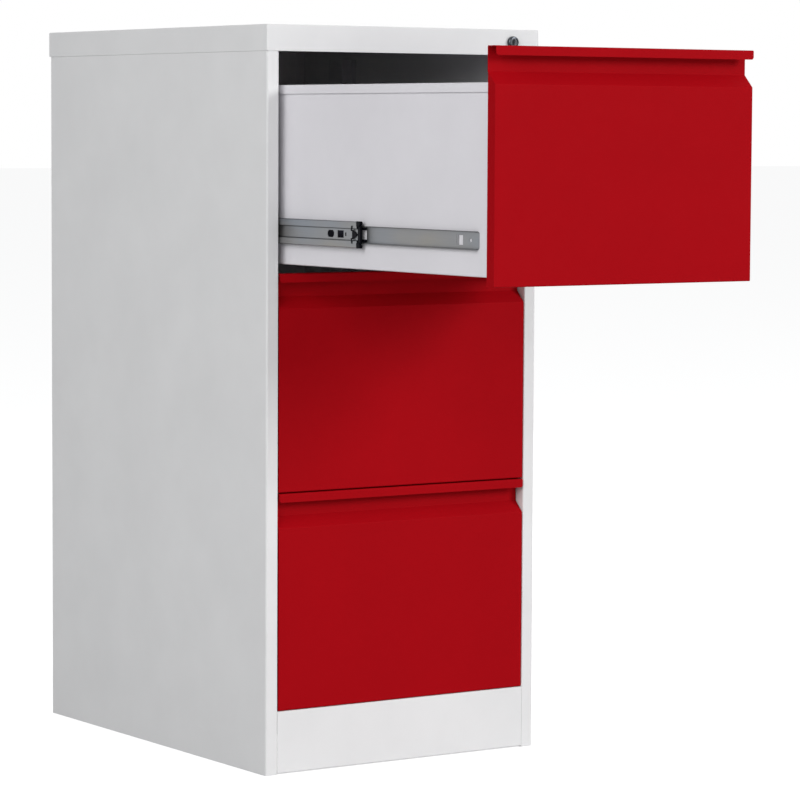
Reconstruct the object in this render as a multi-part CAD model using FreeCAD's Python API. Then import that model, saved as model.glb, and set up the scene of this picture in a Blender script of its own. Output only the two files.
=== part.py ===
import FreeCAD, Part

# Three-drawer vertical filing cabinet of bent sheet steel, top drawer drawn out to its stop.
# Millimetres. +X is to the right of someone facing the drawers, +Y goes into the cabinet, +Z is up.
# The origin is on the floor, in the middle of the case. Depths called "from front" count from
# the plane of the front posts, which is also the plane of the closed drawers' faces.

import itertools
import math
import os

# Case
CASE_WIDTH = 452.0
CASE_DEPTH = 620.0
CASE_HEIGHT = 1030.0
SHEET = 1.0
BEND = 0.8              # inner radius of a plain bend
POST_WIDTH = 19.0
POST_RETURN = 20.0      # depth of the post's inner leg
POST_CORNER = 2.0       # inner radius of the case's front and rear corners
FOOT_CLEAR = 4.0        # from the post's leg to the foot flange
CAP_SKIRT = 36.0
CAP_EDGE = 1.6          # outer radius round the top
CAP_RETURN = 12.0       # depth of the return under the fascia
PLINTH_HEIGHT = 88.0
PLINTH_LIFT = 1.5       # the plinth ends just short of the floor
PLINTH_DEPTH = 18.0
SEAM_FLANGE = 16.0      # inward flanges that hold the back and stand on the floor
PAN_SKIRT = 13.0        # turned-down edges of the base pan
PAN_TONGUE = (4.0, 30.0)
BRACE_HALF = 36.0
BRACE_HEIGHT = 26.0
BRACE_TAB_HALF = 33.0
UPRIGHTS = ((44.0, 84.0), (482.0, 522.0))
UPRIGHT_FLANGE = 12.0
UPRIGHT_SLOTS_PER_DRAWER = 2
UPRIGHT_SLOT = (5.0, 16.0)
SEAM_GAP = 0.5          # beside a sheet that fits between two others

# Drawers
DRAWER_COUNT = 3
DRAWER_PITCH = 302.0
FRONT_GAP = 1.6         # between two fronts, and beside them
FRONT_DEPTH = 16.0
LIP_HEIGHT = 12.0
LIP_PROUD = 1.8
LIP_CORNER = 3.5
RECESS_FALL = 32.0      # from the top of a front to the foot of its upright recess
SLOPE_FALL = 16.0
TRAY_HALF = 194.3
TRAY_TOP_DROP = 45.4
TRAY_LIFT = 11.2        # underside of the tray above the front's lower edge
TRAY_END = 576.0
BACK_DROP = 22.0        # the tray's back is lower than its sides
RAIL_HEIGHT = 12.0      # folded band along the top of each tray side
RAIL_PROUD = 2.2
RAIL_BEND = 0.5
RAIL_CREASE = 0.1
PAN_FLANGE = 10.0       # side flanges of the panel behind a front
BACK_FLANGE = 13.0      # side flanges of a tray's back
TRAVEL = 504.5
SLIDE_RISE = 57.0       # slide axis above the front's lower edge

# Slide of three nested members: u runs from the cabinet side to the tray, v is up from the axis.
# Starts and hole places are depths from the front with the drawer closed.
SLIDE_SPACE = 12.7
OUTER_START = 40.0
OUTER_LENGTH = 500.0
OUTER_SHEET = 1.2
OUTER_HALF = 22.3
OUTER_REACH = 10.6
OUTER_LIP = 3.6
OUTER_BEND = 1.4
LIP_BEND = 0.3          # at the lips and jogs of every member
MIDDLE_START = 62.0
MIDDLE_END = 536.0
MIDDLE_SHEET = 1.0
MIDDLE_HALF = 17.3
MIDDLE_U = 2.0          # outer face of the middle member's two bands
MIDDLE_WEB_U = 4.6      # outer face of its sunken web
MIDDLE_REACH = 11.6
MIDDLE_LIP = 2.5
RACE_BEND = 0.9
BAND_HEIGHT = 9.6
JOG_RUN = 1.3           # height of the step between a band and the web
OBLONG_HOLE = 128.0
OBLONG_RADIUS = 5.1
OBLONG_STRETCH = 6.6
SQUARE_HOLE = (96.5, 111.5)
SQUARE_HALF = 4.8
WEB_SLIT = (90.0, 93.0)
REAR_HOLE = (470.0, 490.0)
INNER_START = 47.5
INNER_LENGTH = 500.0
INNER_SHEET = 1.2
INNER_HALF = 11.6
INNER_REACH = 6.1
INNER_LIP = 0.5
NOSE_CUT = 3.0
LEVER_WINDOW = (303.5, 315.0)
LEVER_WINDOW_HALF = 6.0
LANCE_SLOT = (82.4, 92.0)
LANCE_SLIT = (94.4, 96.2)
LANCE_HALF = 6.3
PIN_HOLE = 65.4
PIN_HOLE_RADIUS = 2.6
REAR_SLOT = (507.0, 519.0)
BALL_ROOM = 0.1         # from a ball to each race
BALLS_PER_ROW = 3
BALL_PITCH = 52.0
CAGE_SHEET = 0.4
CAGE_START = 208.0
CAGE_LENGTH = 160.0
OUTER_CAGE_REACH = 8.4
OUTER_BALL_U = 5.2
INNER_CAGE_REACH = 10.6
INNER_BALL_U = 8.5
BUMPER_DEPTH = 8.0
BUMPER_PROUD = 0.6      # above and below the middle member
BUMPER_LOBE = 4.6
BUMPER_SHOULDER = 7.4   # from the end of a lobe to the waist
BUMPER_WAIST = 2.4
BUMPER_U = 1.7
BUMPER_REACH = 9.1
BUMPER_THROAT = 0.8     # room round the inner member
WEDGE_LENGTH = 14.5
WEDGE_HALF = 6.0
WEDGE_NECK = 4.5
WEDGE_NECK_HALF = 2.7
WEDGE_SHEET = 1.2
CLAW_U = 1.35
CLAW_TIP = 12.0
CLAW_WIDTH = 1.7
CLAW_BOW = 1.3          # from a claw's root forwards to its tip
LEVER_START = 303.0
LEVER_LENGTH = 32.0
LEVER_HALF = 9.4
LEVER_PRONG = 13.0
LEVER_TAPER = 9.0
LEVER_CORNER = 4.0
LEVER_INSET = 0.9
LEVER_RELIEF = 1.6
LEVER_ROOM = 0.2        # beside the window's edges

# Lock in the right of the fascia, and the upright bar it lifts
LOCK_X = 181.0
LOCK_Z = CASE_HEIGHT - CAP_SKIRT / 2
LOCK_HEAD_RADIUS = 8.6
LOCK_HEAD_PROUD = 6.0
LOCK_BARREL_RADIUS = 7.5
LOCK_BARREL_END = 16.0
LOCK_CHAMFER = 1.2
BARREL_ROOM = 0.1
NUT_CORNER = 11.5
NUT_DEPTH = 5.0
PLUG_RADIUS = 5.5
PLUG_ROOM = 0.06
PLUG_SUNK = 0.8
TAIL_HALF = 2.5
RIVET_RADIUS = 4.0
RIVET_DEPTH = 1.6
KEYWAY_HALF_WIDTH = 0.8
KEYWAY_HALF_HEIGHT = 3.6
KEYWAY_DEPTH = 9.0
CAM_PIN_CIRCLE = 10.0
CAM_PIN_RADIUS = 2.0
CAM_HUB_RADIUS = 6.5
CAM_ARM_HALF = 4.0
CAM_START = 17.2
CAM_SHEET = 2.0
CAM_ROOM = 0.4          # from the plug's shoulder to the cam
CAM_PIN_LENGTH = 5.3
CAM_TURN = 90.0
SLOT_ROOM = 0.4         # round the cam's pin
BAR_ARM_HALF = 6.0
BAR_LIFT = 2 * CAM_PIN_CIRCLE * math.sin(math.radians(CAM_TURN / 2))
BAR_X = 207.6
BAR_SHEET = 2.0
BAR_FRONT = 21.5
BAR_REAR = 35.5
BAR_FOOT = 190.0
CATCH_RISE = 127.0      # catch centre above the front's lower edge
CATCH_HALF = 8.0
CATCH_START = 26.0
CATCH_LEG = 24.0
CATCH_SHEET = 2.0
CATCH_REACH = 203.5
HOOK_HEIGHT = 12.0
HOOK_DEPTH = 4.0
HOOK_REACH = 197.5
HOOK_CHAMFER = 2.0
HOOK_CLEAR = 1.5        # from a hook up to its catch when unlocked
GUIDE_RISE = 210.0
GUIDE_HEIGHT = 20.0
GUIDE_SHEET = 0.8
GUIDE_ROOM = 0.4
GUIDE_BEND = 0.3

# Values that follow from those above
HALF_WIDTH = CASE_WIDTH / 2
FRONT = -CASE_DEPTH / 2
BACK = CASE_DEPTH / 2
OPENING_HALF = HALF_WIDTH - POST_WIDTH
PANEL_INSIDE = HALF_WIDTH - SHEET
CASE_TOP = CASE_HEIGHT - SHEET
FRONT_HALF = OPENING_HALF - FRONT_GAP
FRONT_HEIGHT = DRAWER_PITCH - FRONT_GAP
DRAWERS = range(1, DRAWER_COUNT + 1)
OUT_AT_REST = {1: TRAVEL}

ALONG = {
    "x": FreeCAD.Vector(1, 0, 0),
    "y": FreeCAD.Vector(0, 1, 0),
    "z": FreeCAD.Vector(0, 0, 1),
}


def place(axis, a, b, height=0.0):
    """A point of the profile plane square to axis. Its coordinates a, b keep the order X, Y, Z."""
    if axis == "x":
        return FreeCAD.Vector(height, a, b)
    if axis == "y":
        return FreeCAD.Vector(a, height, b)
    return FreeCAD.Vector(a, b, height)


def box(x, y, z):
    """A block from three (low, high) pairs."""
    size = [abs(pair[1] - pair[0]) for pair in (x, y, z)]
    return Part.makeBox(*size, FreeCAD.Vector(min(x), min(y), min(z)))


def eight_sided(radius, centre, length, stretch=0.0):
    """A small hole's tool along X: eight-sided, and drawn out along Y by stretch to an oblong."""
    x, y, z = centre
    corners = []
    for index in range(8):
        angle = math.radians(45 * index + 22.5)
        side = math.copysign(stretch / 2, math.cos(angle))
        corners.append((y + side + radius * math.cos(angle), z + radius * math.sin(angle)))
    return prism(corners, "x", x, x + length)


def rod(radius, centre, axis, length):
    """A cylinder from centre along a row axis, forwards or, with a negative length, backwards."""
    direction = ALONG[axis] * math.copysign(1, length)
    return Part.makeCylinder(radius, abs(length), FreeCAD.Vector(*centre), direction)


def prism(points, axis, start, end):
    """A polygon in the plane square to axis, raised from start to end along it."""
    corners = [place(axis, a, b, start) for a, b in points]
    face = Part.Face(Part.makePolygon(corners + corners[:1]))
    return face.extrude(ALONG[axis] * (end - start))


def rounded_path(points, radii, flats):
    """Edges, as plane points, of a polyline whose inner corners are arcs of the given radii or,
    where flats holds true, a single flat that touches such an arc at its middle."""
    edges = []
    last = points[0]
    for before, corner, after, radius, flat in zip(points, points[1:], points[2:], radii, flats):
        into = unit(before, corner)
        out = unit(corner, after)
        turn = math.acos(max(-1.0, min(1.0, into[0] * out[0] + into[1] * out[1])))
        reach = radius / math.cos(turn / 2) - radius
        cut = reach / math.sin(turn / 2) if flat else radius * math.tan(turn / 2)
        start = (corner[0] - into[0] * cut, corner[1] - into[1] * cut)
        end = (corner[0] + out[0] * cut, corner[1] + out[1] * cut)
        inward = unit((0, 0), (out[0] - into[0], out[1] - into[1]))
        middle = (corner[0] + inward[0] * reach, corner[1] + inward[1] * reach)
        edges.append((last, start))
        edges.append((start, end) if flat else (start, middle, end))
        last = end
    edges.append((last, points[-1]))
    return edges


def unit(a, b):
    """Direction from a to b."""
    length = math.hypot(b[0] - a[0], b[1] - a[1])
    return ((b[0] - a[0]) / length, (b[1] - a[1]) / length)


def bent_sheet(points, thickness, axis, start, end, side="left", bend=BEND, round_folds=()):
    """A folded sheet. The points are one face of its section, its thickness lies on the named
    side of them, bend is the inner radius of every fold or a list of them, and the section is
    carried from start to end along axis. The folds numbered in round_folds are arcs, and the
    small or hidden ones are a flat across the corner."""
    sign = 1 if side == "left" else -1
    folds = len(points) - 2
    bends = bend if isinstance(bend, list) else [bend] * folds
    flats = [number not in round_folds for number in range(folds)]
    steps = [unit(a, b) for a, b in zip(points, points[1:])]
    normals = [(-sign * step[1], sign * step[0]) for step in steps]
    other = [(points[0][0] + normals[0][0] * thickness, points[0][1] + normals[0][1] * thickness)]
    near_radii = []
    far_radii = []
    for corner, n, m, step, inner in zip(points[1:], normals, normals[1:], steps, bends):
        share = thickness / (1 + n[0] * m[0] + n[1] * m[1])
        other.append((corner[0] + (n[0] + m[0]) * share, corner[1] + (n[1] + m[1]) * share))
        opens_away = step[0] * m[0] + step[1] * m[1] > 0
        near_radii.append(inner if opens_away else inner + thickness)
        far_radii.append(inner + thickness if opens_away else inner)
    last = points[-1]
    other.append((last[0] + normals[-1][0] * thickness, last[1] + normals[-1][1] * thickness))
    near = rounded_path(points, near_radii, flats)
    far = rounded_path(other, far_radii, flats)
    outline = near + [(points[-1], other[-1])] + far + [(other[0], points[0])]
    edges = []
    for edge in outline:
        corners = [place(axis, a, b, start) for a, b in edge]
        if len(corners) == 3:
            edges.append(Part.Arc(*corners).toShape())
        else:
            edges.append(Part.makeLine(*corners))
    face = Part.Face(Part.Wire(Part.__sortEdges__(edges)))
    return face.extrude(ALONG[axis] * (end - start))


def joined(shapes):
    """One solid from pieces that touch or overlap."""
    first = shapes[0]
    return first.fuse(shapes[1:]).removeSplitter()


def group(shapes):
    """Separate solids kept in one node."""
    return Part.makeCompound([solid for shape in shapes for solid in shape.Solids])


def mirrored(shape):
    """The same piece on the other side of the cabinet."""
    return shape.mirror(FreeCAD.Vector(0, 0, 0), FreeCAD.Vector(1, 0, 0))


def moved(shape, x=0.0, y=0.0, z=0.0):
    copy = shape.copy()
    copy.translate(FreeCAD.Vector(x, y, z))
    return copy


def from_front(depth):
    """Y of a depth counted from the plane of the front posts."""
    return FRONT + depth


def from_fronts(points):
    """The same for the first value of each point."""
    return [(from_front(depth), height) for depth, height in points]


def front_bottom(number):
    """Z of the lower edge of drawer number's front; drawer 1 is the top one."""
    return PLINTH_HEIGHT + (DRAWER_COUNT - number) * DRAWER_PITCH + FRONT_GAP / 2


def slide_axis(number):
    return front_bottom(number) + SLIDE_RISE


def rounded_edges(shape, radius, chosen):
    """Fillets the edges for which chosen(edge) is true."""
    edges = [edge for edge in shape.Edges if chosen(edge)]
    return shape.makeFillet(radius, edges)


# Case

def side_panel():
    """Left panel: post leg, post face, side and rear flange in one sheet, with a foot flange."""
    section = [
        (-OPENING_HALF, from_front(POST_RETURN)),
        (-OPENING_HALF, FRONT),
        (-HALF_WIDTH, FRONT),
        (-HALF_WIDTH, BACK - SHEET),
        (-HALF_WIDTH + SEAM_FLANGE, BACK - SHEET),
    ]
    bends = [BEND, POST_CORNER, POST_CORNER]
    skin = bent_sheet(section, SHEET, "z", 0, CASE_TOP - SHEET, "right", bends, (1, 2))
    across = (-PANEL_INSIDE - SHEET / 2, -HALF_WIDTH + SEAM_FLANGE)
    along = (from_front(POST_RETURN + FOOT_CLEAR), BACK - SEAM_FLANGE)
    foot = box(across, along, (0, SHEET))
    head = box(across, along, (CASE_TOP - 2 * SHEET, CASE_TOP - SHEET))
    return joined([skin, foot, head])


def back_panel():
    """Flat sheet over both rear flanges, with a fold along its foot."""
    section = [(BACK - SEAM_FLANGE, 0), (BACK, 0), (BACK, CASE_TOP - SHEET)]
    half = HALF_WIDTH - POST_CORNER - SHEET
    upright = bent_sheet(section, SHEET, "x", -half, half, "left")
    corners = box((half - SEAM_FLANGE, half), (BACK - SEAM_FLANGE - 1, BACK - SHEET), (0, SHEET * 2))
    return upright.cut(corners).cut(mirrored(corners))


def top_cap():
    """Lid with a skirt on all four sides, outside the panels, and a return under the fascia."""
    half = HALF_WIDTH + SHEET
    y = (FRONT - SHEET, BACK + SHEET)
    block = box((-half, half), y, (CASE_HEIGHT - CAP_SKIRT, CASE_HEIGHT))
    low = CASE_HEIGHT - CAP_SKIRT
    block = rounded_edges(block, CAP_EDGE, lambda edge: edge.BoundBox.ZMin > low + 1)
    hollow = box((-HALF_WIDTH, HALF_WIDTH), (FRONT, BACK), (low - 1, CASE_TOP))
    skin = block.cut(hollow)
    across = (-OPENING_HALF + SEAM_GAP, OPENING_HALF - SEAM_GAP)
    lip = box(across, (FRONT - SHEET / 2, from_front(CAP_RETURN)), (low, low + SHEET))
    lock_hole = rod(LOCK_BARREL_RADIUS + BARREL_ROOM, (LOCK_X, FRONT - 2 * SHEET, LOCK_Z), "y", 4 * SHEET)
    return joined([skin, lip]).cut(lock_hole)


def top_front_rail():
    """Channel behind the fascia, from post to post, that the lock is clamped to."""
    low = CASE_HEIGHT - CAP_SKIRT + 2 * SHEET
    high = CASE_TOP - SHEET
    section = [
        (from_front(POST_RETURN), low),
        (FRONT, low),
        (FRONT, high),
        (from_front(POST_RETURN), high),
    ]
    rail = bent_sheet(section, SHEET, "x", -OPENING_HALF, OPENING_HALF, "right")
    lock_hole = rod(LOCK_BARREL_RADIUS + BARREL_ROOM, (LOCK_X, FRONT - SHEET, LOCK_Z), "y", 4 * SHEET)
    return rail.cut(lock_hole)


def plinth():
    """Channel between the posts, its face flush with theirs."""
    section = [
        (from_front(PLINTH_DEPTH), PLINTH_LIFT),
        (FRONT, PLINTH_LIFT),
        (FRONT, PLINTH_HEIGHT),
        (from_front(PLINTH_DEPTH), PLINTH_HEIGHT),
    ]
    return bent_sheet(section, SHEET, "x", -OPENING_HALF, OPENING_HALF, "right")


def base_pan():
    """Pan that closes the base under the bottom drawer; its tongue runs under the plinth's top."""
    top = PLINTH_HEIGHT - SHEET
    section = [
        (-PANEL_INSIDE, top - PAN_SKIRT),
        (-PANEL_INSIDE, top),
        (PANEL_INSIDE, top),
        (PANEL_INSIDE, top - PAN_SKIRT),
    ]
    rear = BACK - 2 * SHEET - POST_CORNER
    pan = bent_sheet(section, SHEET, "y", from_front(POST_RETURN + 2 * SHEET), rear, "right")
    across = (-OPENING_HALF + 2 * SHEET, OPENING_HALF - 2 * SHEET)
    tongue = box(across, [from_front(depth) for depth in PAN_TONGUE], (top - SHEET, top))
    return joined([pan, tongue])


def base_cross_brace():
    """Channel lying on the floor between the side panels, its ends stepped over their foot flanges."""
    half = HALF_WIDTH - SEAM_FLANGE - SEAM_GAP
    section = [
        (-BRACE_HALF, BRACE_HEIGHT),
        (-BRACE_HALF, 0),
        (BRACE_HALF, 0),
        (BRACE_HALF, BRACE_HEIGHT),
    ]
    channel = bent_sheet(section, SHEET, "x", -half, half, "left")
    along = (-BRACE_TAB_HALF, BRACE_TAB_HALF)
    step = box((half - SHEET, half), along, (0, 2 * SHEET))
    tab = box((half - SHEET, PANEL_INSIDE - POST_CORNER - SHEET), along, (SHEET, 2 * SHEET))
    return joined([channel, step, tab, mirrored(step), mirrored(tab)])


def uprights():
    """Left pair of slotted hat channels that stand on the base pan and carry the slides."""
    pieces = []
    foot = PANEL_INSIDE - SHEET
    across = (-OPENING_HALF - 2 * SHEET, -OPENING_HALF + SHEET)
    width, height = UPRIGHT_SLOT
    for near, far in UPRIGHTS:
        section = [
            (-foot, from_front(near - UPRIGHT_FLANGE)),
            (-foot, from_front(near)),
            (-OPENING_HALF, from_front(near)),
            (-OPENING_HALF, from_front(far)),
            (-foot, from_front(far)),
            (-foot, from_front(far + UPRIGHT_FLANGE)),
        ]
        low = PLINTH_HEIGHT - SHEET
        hat = bent_sheet(section, SHEET, "z", low, CASE_HEIGHT - CAP_SKIRT, "left")
        y = from_front((near + far) / 2)
        slots = []
        for index in range(DRAWER_COUNT * UPRIGHT_SLOTS_PER_DRAWER):
            z = PLINTH_HEIGHT + DRAWER_PITCH / UPRIGHT_SLOTS_PER_DRAWER * (index + 0.5)
            slots.append(box(across, (y - width / 2, y + width / 2), (z - height / 2, z + height / 2)))
        pieces.append(hat.cut(slots))
    return group(pieces)


# Slides

def member(section, sheet, side, first, last, bend):
    """One slide member of the left side, from its section in u, v, with its axis at Z = 0."""
    points = [(-OPENING_HALF + u, v) for u, v in section]
    return bent_sheet(points, sheet, "y", from_front(first), from_front(last), side, bend)


def window(across, depths, half):
    """Tool for a square-cornered hole in a member's web."""
    return box(across, [from_front(depth) for depth in depths], (-half, half))


def outer_member():
    """Channel screwed to the uprights; its turned-in lips close the outer ball races."""
    section = [
        (OUTER_REACH, OUTER_HALF - OUTER_LIP),
        (OUTER_REACH, OUTER_HALF),
        (0, OUTER_HALF),
        (0, -OUTER_HALF),
        (OUTER_REACH, -OUTER_HALF),
        (OUTER_REACH, -OUTER_HALF + OUTER_LIP),
    ]
    bends = [LIP_BEND, OUTER_BEND, OUTER_BEND, LIP_BEND]
    return member(section, OUTER_SHEET, "left", OUTER_START, OUTER_START + OUTER_LENGTH, bends)


def middle_member():
    """Floating channel: two bands, a sunken web between them, and races outside and inside."""
    band_foot = MIDDLE_HALF - BAND_HEIGHT
    section = [
        (MIDDLE_REACH, MIDDLE_HALF - MIDDLE_LIP),
        (MIDDLE_REACH, MIDDLE_HALF),
        (MIDDLE_U, MIDDLE_HALF),
        (MIDDLE_U, band_foot + JOG_RUN / 2),
        (MIDDLE_WEB_U, band_foot - JOG_RUN / 2),
        (MIDDLE_WEB_U, -band_foot + JOG_RUN / 2),
        (MIDDLE_U, -band_foot - JOG_RUN / 2),
        (MIDDLE_U, -MIDDLE_HALF),
        (MIDDLE_REACH, -MIDDLE_HALF),
        (MIDDLE_REACH, -MIDDLE_HALF + MIDDLE_LIP),
    ]
    bends = [LIP_BEND, RACE_BEND] + 4 * [LIP_BEND] + [RACE_BEND, LIP_BEND]
    body = member(section, MIDDLE_SHEET, "left", MIDDLE_START, MIDDLE_END, bends)
    web = (-OPENING_HALF + MIDDLE_U, -OPENING_HALF + INNER_REACH)
    centre = (web[0], from_front(OBLONG_HOLE), 0)
    oblong = eight_sided(OBLONG_RADIUS, centre, web[1] - web[0], OBLONG_STRETCH)
    square = window(web, SQUARE_HOLE, SQUARE_HALF)
    slit = window(web, WEB_SLIT, SQUARE_HALF / 2)
    rear = window(web, REAR_HOLE, SQUARE_HALF)
    return body.cut([oblong, square, slit, rear])


def inner_member():
    """Channel fixed to the tray, open towards the cabinet side."""
    section = [
        (INNER_REACH + INNER_LIP, INNER_HALF),
        (SLIDE_SPACE, INNER_HALF),
        (SLIDE_SPACE, -INNER_HALF),
        (INNER_REACH + INNER_LIP, -INNER_HALF),
    ]
    body = member(section, INNER_SHEET, "right", INNER_START, INNER_START + INNER_LENGTH, RACE_BEND)
    web = (-OPENING_HALF + SLIDE_SPACE - 2 * INNER_SHEET, -OPENING_HALF + SLIDE_SPACE + 1)
    pin = (web[0], from_front(PIN_HOLE), 0)
    tools = [
        window(web, LEVER_WINDOW, LEVER_WINDOW_HALF),
        window(web, LANCE_SLOT, LANCE_HALF),
        window(web, LANCE_SLIT, LANCE_HALF),
        window(web, REAR_SLOT, LANCE_HALF / 2),
        eight_sided(PIN_HOLE_RADIUS, pin, web[1] - web[0]),
    ]
    for side in (-1, 1):
        corner = [
            (INNER_START - 1, side * (INNER_HALF + 1)),
            (INNER_START + NOSE_CUT, side * (INNER_HALF + 1)),
            (INNER_START - 1, side * (INNER_HALF - NOSE_CUT)),
        ]
        tools.append(prism(from_fronts(corner), "x", -OPENING_HALF, -OPENING_HALF + SLIDE_SPACE + 1))
    return body.cut(tools)


def ball_race(outside, inside):
    """Height of a ball row's middle above the slide axis, and the radius of its balls, from the
    heights of the two faces that the balls run on."""
    return (outside + inside) / 2, (outside - inside) / 2 - BALL_ROOM


def ball(centre, radius):
    """A bearing ball as the twenty-faced solid that fits inside it."""
    golden = (1 + math.sqrt(5)) / 2
    size = radius / math.hypot(1, golden)
    corners = []
    for a in (-size, size):
        for b in (-size * golden, size * golden):
            corners.append(FreeCAD.Vector(0, a, b))
            corners.append(FreeCAD.Vector(a, b, 0))
            corners.append(FreeCAD.Vector(b, 0, a))
    side = 2 * size
    faces = []
    for trio in itertools.combinations(corners, 3):
        if all(abs(p.distanceToPoint(q) - side) < 1e-6 for p, q in itertools.combinations(trio, 2)):
            faces.append(Part.Face(Part.makePolygon([centre + corner for corner in trio + trio[:1]])))
    return Part.makeSolid(Part.makeShell(faces))


def ball_cage(race, web_u, reach_u, ball_u):
    """Thin U-shaped cage with its pockets, and its balls as solids of their own."""
    row, radius = race
    section = [
        (reach_u, row + CAGE_SHEET / 2),
        (web_u, row + CAGE_SHEET / 2),
        (web_u, -row - CAGE_SHEET / 2),
        (reach_u, -row - CAGE_SHEET / 2),
    ]
    cage = member(section, CAGE_SHEET, "left", CAGE_START, CAGE_START + CAGE_LENGTH, LIP_BEND)
    middle = CAGE_START + CAGE_LENGTH / 2
    pocket = radius + BALL_ROOM
    x = -OPENING_HALF + ball_u
    pockets = []
    balls = []
    for index in range(BALLS_PER_ROW):
        y = from_front(middle + (index - (BALLS_PER_ROW - 1) / 2) * BALL_PITCH)
        for z in (-row, row):
            pockets.append(box((x - pocket, x + pocket), (y - pocket, y + pocket), (z - 1, z + 1)))
            balls.append(ball(FreeCAD.Vector(x, y, z), radius))
    return [cage.cut(pockets)] + balls


def outer_cage():
    """Cage between the outer and the middle member."""
    race = ball_race(OUTER_HALF - OUTER_SHEET, MIDDLE_HALF)
    web_u = OUTER_SHEET + 2 * BALL_ROOM
    return group(ball_cage(race, web_u, OUTER_CAGE_REACH, OUTER_BALL_U))


def inner_cage():
    """Cage between the middle and the inner member."""
    race = ball_race(MIDDLE_HALF - MIDDLE_SHEET, INNER_HALF)
    web_u = MIDDLE_WEB_U + MIDDLE_SHEET + BALL_ROOM
    return group(ball_cage(race, web_u, INNER_CAGE_REACH, INNER_BALL_U))


def slide_bumper():
    """Plastic buffer on the front end of the middle member: a waisted bar with a lobe at each
    end, a wedge that lies in the sunken web, and a bowed claw from the wedge over each band."""
    start = MIDDLE_START - BUMPER_DEPTH
    half = MIDDLE_HALF + BUMPER_PROUD
    waist_half = half - BUMPER_SHOULDER
    outline = [
        (start, -half),
        (MIDDLE_START, -half),
        (MIDDLE_START, half),
        (start, half),
        (start, half - BUMPER_LOBE),
        (start + BUMPER_WAIST, waist_half),
        (start + BUMPER_WAIST, -waist_half),
        (start, -half + BUMPER_LOBE),
    ]
    near = -OPENING_HALF + BUMPER_U
    claw = -OPENING_HALF + CLAW_U
    web = -OPENING_HALF + MIDDLE_WEB_U
    block = prism(from_fronts(outline), "x", near, -OPENING_HALF + BUMPER_REACH)
    along = (from_front(start - 1), from_front(MIDDLE_START + 1))
    throat_u = (-OPENING_HALF + INNER_REACH - BALL_ROOM, -OPENING_HALF + SLIDE_SPACE)
    throat_half = INNER_HALF + BUMPER_THROAT
    throat = box(throat_u, along, (-throat_half, throat_half))
    hollow = box((near - 1, web - WEDGE_SHEET), along, (-waist_half, waist_half))
    wedge_end = MIDDLE_START + WEDGE_LENGTH
    wedge_outline = [
        (MIDDLE_START - 1, -WEDGE_NECK_HALF),
        (MIDDLE_START + WEDGE_NECK, -WEDGE_NECK_HALF),
        (wedge_end, -WEDGE_HALF),
        (wedge_end, WEDGE_HALF),
        (MIDDLE_START + WEDGE_NECK, WEDGE_NECK_HALF),
        (MIDDLE_START - 1, WEDGE_NECK_HALF),
    ]
    pieces = [
        block.cut([throat, hollow]),
        prism(from_fronts(wedge_outline), "x", web - WEDGE_SHEET, web),
    ]
    for side in (-1, 1):
        root_half = side * (WEDGE_HALF - WEDGE_SHEET)
        tip_half = side * CLAW_TIP
        pieces.append(box((claw, web), [from_front(wedge_end - CLAW_WIDTH), from_front(wedge_end)],
                          (root_half, side * WEDGE_HALF)))
        bowed = [
            (wedge_end - CLAW_WIDTH, root_half),
            (wedge_end - CLAW_WIDTH - CLAW_BOW, tip_half),
            (wedge_end - CLAW_BOW, tip_half),
            (wedge_end, root_half),
        ]
        pieces.append(prism(from_fronts(bowed), "x", claw, -OPENING_HALF + MIDDLE_U))
    return joined(pieces)


def release_lever():
    """Plastic lever inside the inner member, forked round its window and tapered behind it."""
    end = LEVER_START + LEVER_LENGTH
    outline = [
        (LEVER_START, -LEVER_HALF),
        (end - LEVER_TAPER, -LEVER_HALF),
        (end, -LEVER_HALF + LEVER_CORNER),
        (end, LEVER_HALF - LEVER_CORNER),
        (end - LEVER_TAPER, LEVER_HALF),
        (LEVER_START, LEVER_HALF),
    ]
    skin = -OPENING_HALF + INNER_REACH + LEVER_INSET
    seat = -OPENING_HALF + SLIDE_SPACE - INNER_SHEET
    body = prism(from_fronts(outline), "x", skin, seat)
    prongs = (LEVER_START - 1, LEVER_START + LEVER_PRONG)
    fork = window((skin - 1, seat + 1), prongs, LEVER_WINDOW_HALF + LEVER_ROOM)
    thinned = (LEVER_START - 1, end - LEVER_TAPER)
    relief = window((skin - 1, skin + LEVER_RELIEF), thinned, LEVER_HALF + 1)
    return body.cut([fork, relief])


# Drawers

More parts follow.
